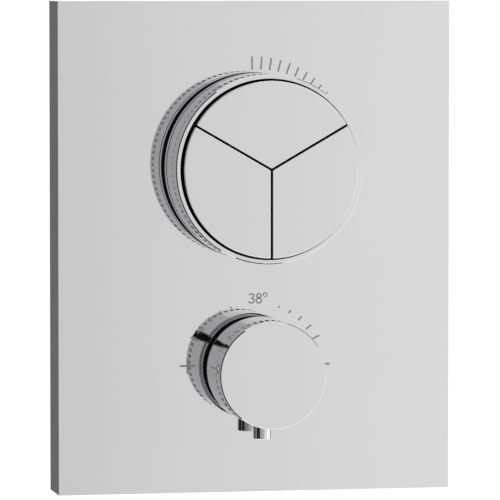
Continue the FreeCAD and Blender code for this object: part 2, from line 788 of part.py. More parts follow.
def make_button(side, angle_deg, pattern):
    """One of the three push-button segments, turned to its place round the axis."""
    button = group(f"button_{side}", [pattern])
    turned_by = FreeCAD.Rotation(Vector(0, 1, 0), 90.0 - angle_deg)
    button.Placement = FreeCAD.Placement(Vector(0, 0, 0), turned_by)
    place(button, height=upper_axis)
    keep(button)


def make_push_rod(side, angle_deg):
    """The rod from a button to its cartridge, with a groove for the retaining clip."""
    (across, height) = round_points(rod_circle, (angle_deg,), upper_axis)[0]
    front = button_front + button_plate + 0.6
    back = as_size(2)
    groove = rod_radius - 0.55
    groove_front = guide_back + loose_gap
    groove_back = groove_front + 0.8
    keep(turned(f"push_rod_{side}", [
        (0, front), (rod_radius, front), (rod_radius, groove_front), (groove, groove_front),
        (groove, groove_back), (rod_radius, groove_back), (rod_radius, back), (0, back),
    ], height, across))


def make_rod_clip(side, angle_deg):
    """An open retaining ring in the rod's groove, which stops the button at its outer position."""
    (across, height) = round_points(rod_circle, (angle_deg,), upper_axis)[0]
    groove = rod_radius - 0.55
    front = guide_back + loose_gap + 0.05
    clip = turned(f"rod_clip_{side}", tube_profile(groove + 0.05, rod_radius + 1.7, front + 0.7, front),
                  height, across)
    pocket_radial(clip, f"clip_mouth_{side}", rectangle(0.5, front - 1, rod_radius + 3, front + 2), 2.4)
    keep(clip)


# -------------------------------------------------------------------------- cartridges behind the ring


def hexagon(across_flats, turned_deg=0.0):
    corner = as_size(across_flats) / math.sqrt(3)
    angles = [math.radians(60 * i + turned_deg) for i in range(6)]
    return [(corner * math.cos(angle), corner * math.sin(angle)) for angle in angles]


def make_push_cartridges():
    """Closed stop-valve cartridges with a hexagon head and a bore for the push rod."""
    cartridges = []
    for i, (across, height) in enumerate(round_points(rod_circle, BUTTONS.values(), upper_axis)):
        body = new_body(f"push_cartridge_{i}")
        head_front = as_size(-0.5)
        head_back = manifold_front - seat_gap
        pad_front(body, f"push_head_{i}", head_back, head_back - head_front,
                  lambda s: draw_outline(s, hexagon(16)))
        turn(body, f"push_barrel_{i}", [
            (0, head_back - 1), (7.0, head_back - 1), (7.0, 12), (6.0, 12), (6.0, 14), (7.0, 14), (7.0, 26),
            (5.5, 26), (5.5, 32), (0, 32),
        ])
        pocket_back(body, f"push_bore_{i}", head_front - 1, 14,
                    lambda s: draw_circle(s, 0, 0, rod_radius + running_gap))
        place(body, across, 0, height)
        cartridges.append(body)
    keep(group("push_cartridges", cartridges))


def o_ring(name, inner, outer, depth, across, height):
    """A rubber ring as it lies squeezed in its groove, its outer edges rounded off by bevels."""
    half = 0.7
    bevel = 0.4
    return turned(name, [
        (inner, -half), (outer - bevel, -half), (outer, bevel - half), (outer, half - bevel),
        (outer - bevel, half), (inner, half),
    ], height, across, depth)


def make_push_orings():
    rings = []
    for i, (across, height) in enumerate(round_points(rod_circle, BUTTONS.values(), upper_axis)):
        rings.append(o_ring(f"push_oring_{i}", 6.05, 7.2, 13, across, height))
    keep(group("push_cartridge_orings", rings))


def make_flow_housing():
    """The quarter-turn cartridge's brass housing: hexagon head, spindle bore and an open cage."""
    body = new_body("flow_housing")
    head_front = as_size(-4)
    head_back = manifold_front - seat_gap
    pad_front(body, "flow_head", head_back, head_back - head_front, lambda s: draw_outline(s, hexagon(22)))
    turn(body, "flow_barrel", [(0, head_back - 1), (10.7, head_back - 1), (10.7, 22.5), (0, 22.5)])
    pocket_back(body, "flow_cage", 15, 10, lambda s: draw_circle(s, 0, 0, 8.7))
    pocket_back(body, "flow_bore", head_front - 1, 22,
                lambda s: draw_circle(s, 0, 0, spindle_radius + running_gap))
    window = pocket_radial(body, "flow_window", rectangle(7, 15.6, 12, 18.0), 8)
    round_pattern(body, "flow_windows", window, 2)
    place(body, height=flow_axis)
    keep(body)


def make_flow_spindle():
    """The spindle that the pinion turns, with a driving flange for the ceramic disc."""
    body = turned("flow_spindle", [
        (2.0, -13.5), (3.6, -13.5), (spindle_radius, -13.1), (spindle_radius, 15.3), (7.0, 15.3), (7.0, 17.6),
        (0, 17.6), (0, -5), (2.0, -5),
    ], flow_axis)
    flat = pocket_radial(body, "flow_spindle_groove", rectangle(spindle_radius - 0.5, -14, 5, gear_y), 0.7)
    round_pattern(body, "flow_spindle_spline", flat, 6)
    keep(body)


def make_ceramic_disc(name, front):
    """A ceramic disc with two opposite openings a quarter of a circle wide."""
    disc = cylinder(f"{name}_disc", 8.4, 2, (0, front, flow_axis))
    openings = []
    for i in range(2):
        wedge = cylinder(f"{name}_wedge_{i}", 6.8, 4, (0, front - 1, flow_axis),
                         angle=80.0, spin=180.0 * i - 40)
        core = cylinder(f"{name}_core_{i}", 2.2, 6, (0, front - 2, flow_axis))
        openings.append(cut(f"{name}_opening_{i}", wedge, core))
    keep(cut(name, disc, fuse(f"{name}_openings", openings)))


def make_flow_pinion():
    """The pinion on the flow spindle; a gap between two teeth meets the ring gear's tooth."""
    body = new_body("flow_pinion")
    root = tooth_module * (PINION_TEETH / 2.0 - 1.25)
    bore = spindle_radius + loose_gap
    turn(body, "pinion_hub", [
        (bore, gear_y), (root, gear_y), (root, gear_y - gear_width), (bore, gear_y - gear_width),
    ])
    pad = pad_front(body, "pinion_tooth", gear_y, gear_width,
                    lambda s: draw_outline(s, tooth_outline(PINION_TEETH, root - 0.5,
                                                            90.0 + 180.0 / PINION_TEETH)))
    round_pattern(body, "pinion_teeth", pad, PINION_TEETH)
    place(body, height=flow_axis)
    keep(body)


def make_pinion_screw():
    keep(screw("pinion_screw", 5.6, 2.2, 1.9, 8, 0, gear_y - gear_width - seat_gap, flow_axis))


# ---------------------------------------------------------------------------------- thermostat in body


def make_thermostat_housing():
    """The cartridge's outer shell: flange, neck with the spindle bore, barrel with two rows of windows."""
    neck = 9.0
    body = turned("thermostat_housing", [
        (spindle_radius + running_gap, -10), (neck, -10), (neck, 0.8), (19.8, 0.8), (19.8, 5.7), (16.1, 5.7),
        (16.1, 8), (15.0, 8), (15.0, 10), (16.1, 10), (16.1, 20.5), (15.0, 20.5), (15.0, 22.5), (16.1, 22.5),
        (16.1, 44), (6, 44), (6, 41), (12.5, 41), (12.5, 10.3), (spindle_radius + running_gap, 10.3),
    ], lower_axis)
    hot = pocket_radial(body, "hot_window", rectangle(11, 13.0, 18, 16.5), 5)
    round_pattern(body, "hot_windows", hot, 4)
    cold = pocket_radial(body, "cold_window", rectangle(11, 28.0, 18, 31.5), 5)
    round_pattern(body, "cold_windows", cold, 4)
    keep(body)


def make_thermostat_orings():
    rings = []
    for i, depth in enumerate((9, 21.5)):
        rings.append(o_ring(f"thermostat_oring_{i}", 15.05, chamber_radius - 0.1, depth, 0, lower_axis))
    keep(group("thermostat_orings", rings))


def make_thermostat_nut():
    """The ring nut that holds the cartridge in its chamber, with four spanner slots."""
    body = turned("thermostat_nut", tube_profile(9.3, 19.9, 0.8 - seat_gap, -boss_front), lower_axis)
    slot = pocket_radial(body, "thermostat_nut_slot", rectangle(15, -boss_front - 1, 21, -boss_front + 2), 4)
    round_pattern(body, "thermostat_nut_slots", slot, 4)
    keep(body)


def make_thermostat_spindle():
    """The splined spindle that the knob turns; its inner screw moves the wax element."""
    body = turned("thermostat_spindle", [
        (0, -30), (spindle_radius - 0.4, -30), (spindle_radius, -29.6), (spindle_radius, 10.6), (7.5, 10.6),
        (7.5, 13), (3, 13), (3, 18), (0, 18),
    ], lower_axis)
    groove = pocket_radial(body, "spindle_groove", rectangle(spindle_radius - 0.5, -31, 5, -22), 0.7)
    round_pattern(body, "spindle_spline", groove, 6)
    keep(body)


def make_wax_element():
    """The expansion element: a cup round the spindle's screw, a flange, the bulb and its tail."""
    keep(turned("wax_element", [
        (3.3, 15.2), (5, 15.2), (5, 24), (7, 24), (7, 26), (4.5, 26), (4.5, 37), (2, 38.5), (2, 42.5),
        (0, 42.5), (0, 20), (3.3, 20),
    ], lower_axis))


def make_thermostat_shuttle():
    """The sliding sleeve that opens one seat as it closes the other; its web has four water ways."""
    body = turned("thermostat_shuttle", [
        (10.4, 17.5), (12.5 - running_gap, 17.5), (12.5 - running_gap, 27.0), (10.4, 27.0), (10.4, 23.7),
        (5.3, 23.7), (5.3, 21.7), (10.4, 21.7),
    ], lower_axis)
    water_way = body.newObject("PartDesign::Pocket", "shuttle_way")
    sketch = new_sketch(body, "shuttle_way_sketch", "XZ_Plane", -21)
    draw_circle(sketch, 7.9, 0, 1.6)
    water_way.Profile = sketch
    water_way.Length = 4
    round_pattern(body, "shuttle_ways", water_way, 4)
    keep(body)


# Springs: each curl is made of tangent arcs, two for every half turn.


def helix_point(radius, pitch, turn_angle):
    along = pitch * turn_angle / (2 * math.pi)
    return Vector(radius * math.cos(turn_angle), along, radius * math.sin(turn_angle))


def helix_heading(radius, pitch, turn_angle):
    heading = Vector(-radius * math.sin(turn_angle), pitch / (2 * math.pi), radius * math.cos(turn_angle))
    return heading.normalize()


def arc_towards(start, corner, end):
    """The arc from start to end whose tangents at both ends meet at the corner."""
    chord = end - start
    middle = (start + end) * 0.5
    to_corner = corner - middle
    half = chord.Length / 2
    leg = (corner - start).Length
    rise = half * (leg - half) / to_corner.Length
    return Part.Arc(start, middle + to_corner * (rise / to_corner.Length), end)


def half_turn_arcs(start, heading, end, end_heading):
    """Two arcs that leave start along one heading and reach end along the other."""
    span = end - start
    both = heading + end_heading
    spread = 2 * (1 - heading.dot(end_heading))
    along = span.dot(both)
    leg = (-along + math.sqrt(along * along + spread * span.dot(span))) / spread
    first_corner = start + heading * leg
    second_corner = end - end_heading * leg
    joint = (first_corner + second_corner) * 0.5
    return [arc_towards(start, first_corner, joint), arc_towards(joint, second_corner, end)]


def coil(label, radius, wire, length, turns):
    """An open-ended compression spring along +Y, its wire's middle on a helix."""
    pitch = (length - 2 * wire) / turns
    edges = []
    for i in range(2 * turns):
        a = math.pi * i
        b = math.pi * (i + 1)
        arcs = half_turn_arcs(
            helix_point(radius, pitch, a), helix_heading(radius, pitch, a),
            helix_point(radius, pitch, b), helix_heading(radius, pitch, b),
        )
        edges.extend(arc.toShape() for arc in arcs)
    path = Part.Wire(edges)
    start = helix_point(radius, pitch, 0)
    section = Part.Wire([Part.makeCircle(wire, start, helix_heading(radius, pitch, 0))])
    shell = Part.BRepOffsetAPI.MakePipeShell(path)
    shell.add(section)
    shell.build()
    shell.makeSolid()
    print(f"{label}: gap between curls {pitch - 2 * wire:.2f} mm")
    item = doc.addObject("Part::Feature", label)
    item.Shape = shell.shape()
    return item


def make_thermostat_spring():
    """The return spring behind the shuttle's web."""
    wire = 0.6
    front = 24.0
    back = 40.8
    spring = coil("thermostat_spring", 9.0, wire, back - front, 3)
    place(spring, 0, front + wire, lower_axis)
    keep(spring)


# ------------------------------------------------------------------------------------ temperature knob


def make_temperature_knob():
    """The knob's metal shell: flat face, notched edge and a hole for the safety button."""
    inner = knob_radius - knob_wall
    back = front_y - lower_seam - loose_gap
    body = turned("temperature_knob", [
        (0, knob_front), (knob_radius - edge_bevel, knob_front), (knob_radius, knob_front + edge_bevel),
        (knob_radius, back), (inner, back), (inner, knob_front + knob_face), (0, knob_front + knob_face),
    ], lower_axis)
    notch_ring(body, "temperature_knob", knob_radius, knob_front, KNOB_NOTCHES)
    sketch = new_sketch(body, "safety_hole_sketch", "XY_Plane")
    draw_circle(sketch, 0, front_y - safety_depth, safety_radius + running_gap)
    hole = body.newObject("PartDesign::Pocket", "safety_hole")
    hole.Profile = sketch
    hole.setExpression("Length", (knob_radius + 2).words)
    body.Tip = hole
    keep(body)


def make_knob_insert():
    """The moulded adaptor inside the knob: a disc, a hub on the spindle and a tube round the stops."""
    disc_front = knob_front + knob_face + seat_gap
    disc_back = disc_front + 6
    tube_back = front_y - safety_depth + 4.6
    hub_back = disc_back + 7
    turned_insert = turned("insert_turned", [
        (0, disc_front), (knob_radius - knob_wall - seat_gap, disc_front),
        (knob_radius - knob_wall - seat_gap, disc_back), (insert_tube, disc_back), (insert_tube, tube_back),
        (insert_bore, tube_back), (insert_bore, disc_back), (8, disc_back), (8, hub_back),
        (extension_radius + loose_gap, hub_back), (extension_radius + loose_gap, disc_back), (0, disc_back),
    ], lower_axis)
    stem_hole = cylinder("insert_stem_hole", 2.7, 14, (0, front_y - safety_depth, lower_axis - 14), "Z")
    lug_front = hub_back + 0.1
    lug_half = TEMPERATURE_HALF_TURN_DEG - LUG_HALF_DEG - 2.0
    wedge = cylinder("insert_lug_wedge", insert_bore + 0.5, 2.0, (0, lug_front, lower_axis),
                     angle=2 * lug_half, spin=90.0 - lug_half)
    core = cylinder("insert_lug_core", stop_tube_radius + loose_gap, 4.0, (0, lug_front - 1, lower_axis))
    solid = fuse("insert_solid", [turned_insert, cut("insert_lug", wedge, core)])
    keep(cut("knob_insert", solid, stem_hole))


def make_spindle_extension():
    """The piece that bridges from the spindle in the wall to the knob."""
    front = knob_front + knob_face + seat_gap + 6 + seat_gap
    back = as_size(-24)
    bore = spindle_radius + loose_gap
    keep(turned("spindle_extension", [
        (0, front), (extension_radius, front), (extension_radius, back),
        (bore, back), (bore, back - 7), (0, back - 7),
    ], lower_axis))


def stop_ring_front():
    return knob_front + knob_face + 16.5


def make_stop_carrier():
    """A fixed tube from the cartridge's neck into the knob, which carries the stop ring."""
    keep(turned("stop_carrier", [
        (stop_tube_bore, stop_ring_front()), (stop_tube_radius, stop_ring_front()), (stop_tube_radius, -12.2),
        (10.8, -12.2), (10.8, -5.3), (9.1, -5.3), (9.1, -10.3), (stop_tube_bore, -10.3),
    ], lower_axis))


def make_stop_ring():
    """The adjustable ring whose lug ends the knob's turn at hot and at cold."""
    front = stop_ring_front() - loose_gap
    bore = stop_tube_radius + seat_gap / 2
    ring = turned("stop_ring_turned", tube_profile(bore, stop_ring_radius, front + 7, front), lower_axis)
    wedge = cylinder("stop_lug_wedge", stop_ring_radius, 3.1, (0, front - 2.7, lower_axis),
                     angle=2 * LUG_HALF_DEG, spin=-90.0 - LUG_HALF_DEG)
    core = cylinder("stop_lug_core", bore, 6, (0, front - 4, lower_axis))
    keep(fuse("stop_ring", [ring, cut("stop_lug", wedge, core)]))


def make_safety_button():
    """The release pin of the 38 degree stop: a round head, a flange inside the knob and a stem."""
    body = new_body("safety_button")
    inner = knob_radius - knob_wall
    flange_low = -(inner - 1.0)
    flange_high = flange_low + 1.8
    stem_end = -insert_tube - 1.5
    profile = [
        (0, -safety_reach), (safety_radius - edge_bevel, -safety_reach),
        (safety_radius, edge_bevel - safety_reach), (safety_radius, flange_low),
        (safety_radius + 1.2, flange_low), (safety_radius + 1.2, flange_high),
        (2.5, flange_high), (2.5, stem_end), (0, stem_end),
    ]
    sketch = new_sketch(body, "safety_profile", "XZ_Plane")
    draw_outline(sketch, profile)
    feature = body.newObject("PartDesign::Revolution", "safety_turned")
    feature.Profile = sketch
    feature.ReferenceAxis = (sketch, ["V_Axis"])
    feature.Angle = 360
    place(body, 0, front_y - safety_depth, lower_axis)
    keep(body)


def make_safety_spring():
    """The small spring that pushes the safety button out."""
    wire = 0.3
    low = -(knob_radius - knob_wall).number + 2.8 + 0.2
    high = -insert_tube.number - 0.2
    spring = coil("safety_spring", 3.4, wire, high - low, 2)
    spring.Placement = FreeCAD.Placement(Vector(0, 0, 0), FreeCAD.Rotation(Vector(1, 0, 0), 90))
    place(spring, 0, front_y - safety_depth, lower_axis + (low + wire))
    keep(spring)


# ------------------------------------------------------------------------------------------ valve body


def make_valve_body():
    """The brass casting: thermostat chamber, flow chamber and outlet manifold on one upright web."""
    side_z = side_port_height()
    top_length = top_port_reach - upper_axis
    solids = [
        cylinder("cast_manifold", manifold_radius, body_back - 2 - manifold_front,
                 (0, manifold_front, upper_axis)),
        cylinder("cast_neck", neck_radius, manifold_front + 0.5, (0, 0, upper_axis)),
        cylinder("cast_flow", 14.5, body_back - 6 - manifold_front, (0, manifold_front, flow_axis)),
        cylinder("cast_thermostat", boss_radius, body_back + boss_front, (0, -boss_front, lower_axis)),
        block("cast_web", (-13, 10, lower_axis), (13, body_back - 4, upper_axis)),
        cylinder("cast_inlets", port_radius, port_reach * 2, (-port_reach, port_depth, lower_axis), "X"),
        cylinder("cast_side_outlets", port_radius, port_reach * 2, (-port_reach, port_depth, side_z), "X"),
        cylinder("cast_top_outlet", port_radius, top_length, (0, port_depth, upper_axis), "Z"),
    ]
    for i, height in enumerate(BRACKET_SCREWS):
        solids.append(cylinder(f"cast_back_lug_{i}", 6, 10, (0, body_back - 6, height)))
    for i, (across, height) in enumerate(carrier_screw_places()):
        solids.append(cylinder(f"cast_lug_{i}", 5, port_depth, (across, seat_gap, height)))
    hollows = [
        cylinder("bore_neck", 24.0, manifold_front + 1, (0, -1, upper_axis)),
        cylinder("bore_flow", 11.0, 26, (0, manifold_front - 1, flow_axis)),
        cylinder("bore_thermostat", chamber_radius, 40, (0, manifold_front - 1, lower_axis)),
        cylinder("bore_nut", 20.2, boss_front + manifold_front + 1, (0, -boss_front - 1, lower_axis)),
        cylinder("way_to_flow", 4.5, lower_axis * -1 + flow_axis, (0, 26, lower_axis), "Z"),
        cylinder("way_to_manifold", 3.5, flow_axis_drop, (0, 11, flow_axis), "Z"),
        cylinder("way_hub", 8.5, 8, (0, 8, upper_axis)),
        cylinder("thread_top", port_bore, port_thread + 1,
                 (0, port_depth, top_port_reach - port_thread), "Z"),
        cylinder("way_top", 6, top_length - rod_circle, (0, port_depth, upper_axis + rod_circle), "Z"),
    ]
    for i, (across, height) in enumerate(round_points(rod_circle, BUTTONS.values(), upper_axis)):
        hollows.append(cylinder(f"bore_push_{i}", 7.3, 30, (across, manifold_front - 1, height)))
    for side in (-1, 1):
        thread_start = port_reach - port_thread if side > 0 else -port_reach - 1
        for name, height in (("inlet", lower_axis), ("outlet", side_z)):
            hollows.append(cylinder(f"thread_{name}_{side + 1}", port_bore, port_thread + 1,
                                    (thread_start, port_depth, height), "X"))
        seat_start = chamber_radius + 3 if side > 0 else -port_reach + 1
        hollows.append(cylinder(f"seat_inlet_{side + 1}", 8, port_reach - chamber_radius - 4,
                                (seat_start, port_depth, lower_axis), "X"))
        inner_start = 0 if side > 0 else -chamber_radius - 4
        hollows.append(cylinder(f"way_inlet_{side + 1}", 5.5, chamber_radius + 4,
                                (inner_start, port_depth, lower_axis), "X"))
        way_start = rod_circle * 0.9 if side > 0 else -port_reach + 1
        hollows.append(cylinder(f"way_outlet_{side + 1}", 6, port_reach - rod_circle * 0.9 - 1,
                                (way_start, port_depth, side_z), "X"))
    for i, (across, height) in enumerate(carrier_screw_places()):
        hollows.append(cylinder(f"tap_carrier_{i}", 2.05, 10, (across, 0, height)))
    for i, height in enumerate(BRACKET_SCREWS):
        hollows.append(cylinder(f"tap_bracket_{i}", 2.3, 9, (0, body_back - 4, height)))
    casting = fuse("casting", solids)
    keep(cut("valve_body", casting, fuse("waterways", hollows)))


def make_check_valves():
    """Non-return inserts in both inlets, each with a ribbed front and a closed poppet housing."""
    valves = []
    length = 10.5
    for side in (-1, 1):
        body = new_body(f"check_valve_{side + 1}")
        turn(body, f"check_valve_turned_{side + 1}", [
            (0, 0), (7.7, 0), (7.7, length * 0.35), (6.9, length * 0.35), (6.9, length * 0.55),
            (7.7, length * 0.55), (7.7, length), (4.8, length), (4.8, length - 1), (0, length - 1),
        ])
        body.Placement = FreeCAD.Placement(Vector(0, 0, 0), FreeCAD.Rotation(Vector(0, 0, 1), -90.0 * side))
        start = (chamber_radius + 3.5) * side
        place(body, start, port_depth, lower_axis)
        valves.append(body)
    keep(group("check_valves", valves))


def make_strainers():
    """Cup-shaped strainers in front of the check valves, with slots in their walls."""
    strainers = []
    for side in (-1, 1):
        body = new_body(f"strainer_{side + 1}")
        turn(body, f"strainer_turned_{side + 1}", [
            (0, 0), (6.6, 0), (6.6, 4.6), (7.7, 4.6), (7.7, 5.8), (5.8, 5.8), (5.8, 0.8), (0, 0.8),
        ])
        slot = pocket_radial(body, f"strainer_slot_{side + 1}", rectangle(5, 1.4, 8, 4), 2.2)
        round_pattern(body, f"strainer_slots_{side + 1}", slot, 6)
        body.Placement = FreeCAD.Placement(Vector(0, 0, 0), FreeCAD.Rotation(Vector(0, 0, 1), -90.0 * side))
        place(body, (port_reach - port_thread - 6) * side, port_depth, lower_axis)
        strainers.append(body)
    keep(group("inlet_strainers", strainers))


def make_fixing_bracket():
    """The steel plate behind the valve body, with four holes for wall screws."""
    body = new_body("fixing_bracket")
    half_x = bracket_width / 2
    half_z = bracket_height / 2
    back = body_back + 4 + seat_gap + bracket_plate

    def outline(sketch):
        draw_outline(sketch, rectangle(-half_x, bracket_middle - half_z, half_x, bracket_middle + half_z))
        for side in (-1, 1):
            for level in (-1, 1):
                draw_circle(sketch, bracket_hole_x * side, bracket_middle + bracket_hole_z * level, 3)
        for height in BRACKET_SCREWS:
            draw_circle(sketch, 0, height, 2.75)

    pad_front(body, "bracket_pad", back, bracket_plate, outline)
    keep(body)


def make_bracket_screws():
    """Two screws from behind the bracket into the valve body."""
    head = 3.0
    screws = []
    for i, height in enumerate(BRACKET_SCREWS):
        body = screw(f"bracket_screw_{i}", 4.2, head, 2.2, 10, 0, 0, 0)
        body.Placement = FreeCAD.Placement(Vector(0, 0, 0), FreeCAD.Rotation(Vector(1, 0, 0), 180))
        place(body, 0, body_back + 4 + seat_gap * 2 + bracket_plate, height)
        screws.append(body)
    keep(group("bracket_screws", screws))


# --------------------------------------------------------------------------------------- the assembly


def make_all():
    make_trim_plate()
    make_plate_gasket()
    make_plate_carrier()
    make_plate_clips()
    make_carrier_screws()
    make_collar("upper_collar", upper_axis, upper_bore, ring_radius, upper_shadow, upper_seam,
                gear_y - gear_width - 1)
    make_collar_seal("upper_collar_seal", upper_axis, upper_bore)
    make_collar_nut("upper_collar_nut", upper_axis, upper_bore)
    make_collar("lower_collar", lower_axis, lower_bore, knob_radius - collar_inset, lower_shadow, lower_seam,
                front_y + plate_face + 5)
    make_collar_seal("lower_collar_seal", lower_axis, lower_bore)
    make_collar_nut("lower_collar_nut", lower_axis, lower_bore)
    make_flow_ring()
    make_ring_gear()
    make_ring_screws()
    make_ring_bush()
    make_button_tower()
    make_button_guide()
    make_guide_screws()
    pattern = make_button_pattern()
    for side, angle_deg in BUTTONS.items():
        make_button(side, angle_deg, pattern)
        make_push_rod(side, angle_deg)
        make_rod_clip(side, angle_deg)
    make_push_cartridges()
    make_push_orings()
    make_flow_housing()
    make_flow_spindle()
    make_ceramic_disc("flow_disc_moving", as_size(17.8))
    make_ceramic_disc("flow_disc_fixed", as_size(19.9))
    make_flow_pinion()
    make_pinion_screw()
    make_thermostat_housing()
    make_thermostat_orings()
    make_thermostat_nut()
    make_thermostat_spindle()
    make_wax_element()
    make_thermostat_shuttle()
    make_thermostat_spring()
    make_temperature_knob()
    make_knob_insert()
    make_spindle_extension()
    make_stop_carrier()
    make_stop_ring()
    make_safety_button()
    make_safety_spring()
    make_valve_body()
    make_check_valves()
    make_strainers()
    make_fixing_bracket()
    make_bracket_screws()


def check_and_write():
    """Stops on any failed object or bad shape, then writes one file per sub-part."""
    faults = [item.Label for item in doc.Objects if "Invalid" in item.State or "Error" in item.State]
    for item in parts:
        if item.Shape.isNull() or not item.Shape.isValid() or not item.Shape.Solids:
            faults.append(item.Label)
    if faults:
        raise RuntimeError("failed: " + ", ".join(faults))
    os.makedirs("parts", exist_ok=True)
    for item in parts:
        item.Shape.exportStep(os.path.join("parts", f"{item.Label}.step"))
    print(f"{len(parts)} sub-parts written")


make_all()
doc.recompute()
check_and_write()
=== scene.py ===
import json
import math

import bpy
import numpy as np
from mathutils import Euler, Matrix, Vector


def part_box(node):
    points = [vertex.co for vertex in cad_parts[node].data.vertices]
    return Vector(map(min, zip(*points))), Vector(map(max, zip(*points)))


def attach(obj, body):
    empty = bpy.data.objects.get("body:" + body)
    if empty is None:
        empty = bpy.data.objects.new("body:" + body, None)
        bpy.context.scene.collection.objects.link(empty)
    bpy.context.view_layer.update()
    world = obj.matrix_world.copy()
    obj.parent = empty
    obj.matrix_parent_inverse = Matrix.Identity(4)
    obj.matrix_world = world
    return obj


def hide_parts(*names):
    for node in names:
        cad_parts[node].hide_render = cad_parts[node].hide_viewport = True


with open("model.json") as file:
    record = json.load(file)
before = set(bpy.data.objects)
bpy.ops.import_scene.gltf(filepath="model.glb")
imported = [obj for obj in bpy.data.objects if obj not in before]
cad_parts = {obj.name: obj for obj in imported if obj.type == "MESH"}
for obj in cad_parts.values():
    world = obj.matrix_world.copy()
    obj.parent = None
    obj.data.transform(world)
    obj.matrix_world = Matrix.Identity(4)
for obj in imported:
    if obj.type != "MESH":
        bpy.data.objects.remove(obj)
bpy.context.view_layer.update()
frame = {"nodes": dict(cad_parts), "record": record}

MM = 0.001

# ------------------------------------------------------------------------------- places read off the frame

plate_low, plate_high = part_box("trim_plate")
ring_low, ring_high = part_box("flow_ring")
knob_low, knob_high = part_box("temperature_knob")
lower_collar_low, lower_collar_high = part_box("lower_collar")
rod_low, rod_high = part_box("push_rod_top")

PLATE_FRONT = plate_low.y
RING_FRONT = ring_low.y
KNOB_FRONT = knob_low.y
BUTTON_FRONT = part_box("button_top")[0].y
UPPER_COLLAR_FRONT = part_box("upper_collar")[0].y
LOWER_COLLAR_FRONT = lower_collar_low.y
RING_RADIUS = (ring_high.x - ring_low.x) / 2
KNOB_RADIUS = (knob_high.x - knob_low.x) / 2
LOWER_COLLAR_RADIUS = (lower_collar_high.x - lower_collar_low.x) / 2
ROD_RADIUS = (rod_high.x - rod_low.x) / 2
UPPER = Vector(((ring_low.x + ring_high.x) / 2, 0, (ring_low.z + ring_high.z) / 2))
LOWER = Vector(((knob_low.x + knob_high.x) / 2, 0, (knob_low.z + knob_high.z) / 2))

# ------------------------------------------------------------------------------------------- mesh helpers


def join(shapes):
    """Joins (points, faces) pairs into one."""
    points, faces, first = [], [], 0
    for shape_points, shape_faces in shapes:
        points.append(shape_points)
        faces.extend([[first + i for i in face] for face in shape_faces])
        first += len(shape_points)
    return np.vstack(points), faces


def rings_and_caps(rings):
    """Quads between closed rings of points one behind the other, and a polygon on the first and last."""
    rows, count = rings.shape[:2]
    i, j = np.meshgrid(np.arange(rows - 1), np.arange(count), indexing="ij")
    first, beside = i * count + j, i * count + (j + 1) % count
    quads = np.stack([first, beside, beside + count, first + count], 2).reshape(-1, 4)
    caps = [list(range(count - 1, -1, -1)), list(range((rows - 1) * count, rows * count))]
    return rings.reshape(-1, 3), quads.tolist() + caps


def new_object(name, points, faces, made):
    """A mesh object at the origin with one material."""
    mesh = bpy.data.meshes.new(name)
    mesh.from_pydata(points.tolist(), [], faces)
    mesh.materials.append(made)
    thing = bpy.data.objects.new(name, mesh)
    bpy.context.scene.collection.objects.link(thing)
    return thing


# --------------------------------------------------------------------------------------- material helpers


def linear(hex_colour):
    """An sRGB hex colour as linear RGBA."""
    values = [int(hex_colour[i:i + 2], 16) / 255 for i in (1, 3, 5)]
    return [v / 12.92 if v <= 0.04045 else ((v + 0.055) / 1.055) ** 2.4 for v in values] + [1.0]


def add(tree, kind, settings=None, **links):
    """Adds a node; settings are its properties or input values, links join its inputs to other outputs. An
    input that shares its name with others is named by its number, as in i6."""
    node = tree.nodes.new(kind)
    for name, value in (settings or {}).items():
        if isinstance(name, int) or name in node.inputs:
            node.inputs[name].default_value = value
        else:
            setattr(node, name, value)
    for name, source in links.items():
        key = int(name[1:]) if name[0] == "i" and name[1:].isdigit() else name.replace("_", " ")
        tree.links.new(source, node.inputs[key])
    return node


def material(name):
    """A material with an empty tree, its Principled shader and its output."""
    made = bpy.data.materials.new(name)
    made.use_nodes = True
    tree = made.node_tree
    tree.nodes.clear()
    shader = add(tree, "ShaderNodeBsdfPrincipled")
    output = add(tree, "ShaderNodeOutputMaterial")
    tree.links.new(shader.outputs[0], output.inputs[0])
    return made, tree, shader


def object_points(tree, scale=(1, 1, 1)):
    """Object coordinates in metres, stretched by a scale."""
    points = add(tree, "ShaderNodeTexCoord")
    return add(tree, "ShaderNodeMapping", {"Scale": scale}, Vector=points.outputs["Object"]).outputs[0]


def object_place(tree):
    """The X, Y and Z of the place on the object, in metres."""
    points = add(tree, "ShaderNodeTexCoord")
    return add(tree, "ShaderNodeSeparateXYZ", None, Vector=points.outputs["Object"]).outputs


def sums(tree, operation, first, second=0):
    """One sum of two numbers or sockets."""
    node = add(tree, "ShaderNodeMath", {"operation": operation})
    for slot, value in zip(node.inputs, (first, second)):
        if isinstance(value, (int, float)):
            slot.default_value = value
        else:
            tree.links.new(value, slot)
    return node.outputs[0]


def distance(tree, across, along):
    """The length of a way that goes across and along."""
    return sums(tree, "SQRT", sums(tree, "ADD", sums(tree, "MULTIPLY", across, across),
                                   sums(tree, "MULTIPLY", along, along)))


def spread(tree, value, low, high):
    """Maps a 0 to 1 value onto a range."""
    return add(tree, "ShaderNodeMapRange", {"To Min": low, "To Max": high}, Value=value).outputs[0]


def bump(tree, shader, height, relief):
    """Joins a height to the shader's normal; relief is what a height of 1 rises, in metres."""
    slope = add(tree, "ShaderNodeBump", {"Distance": relief, "Strength": 1.0}, Height=height)
    tree.links.new(slope.outputs[0], shader.inputs["Normal"])


def noise(tree, points, grain, detail=2.0, roughness=0.5):
    """Noise whose blobs are about one grain across, in metres."""
    return add(tree, "ShaderNodeTexNoise", {"Scale": 1 / grain, "Detail": detail, "Roughness": roughness},
               Vector=points).outputs["Fac"]


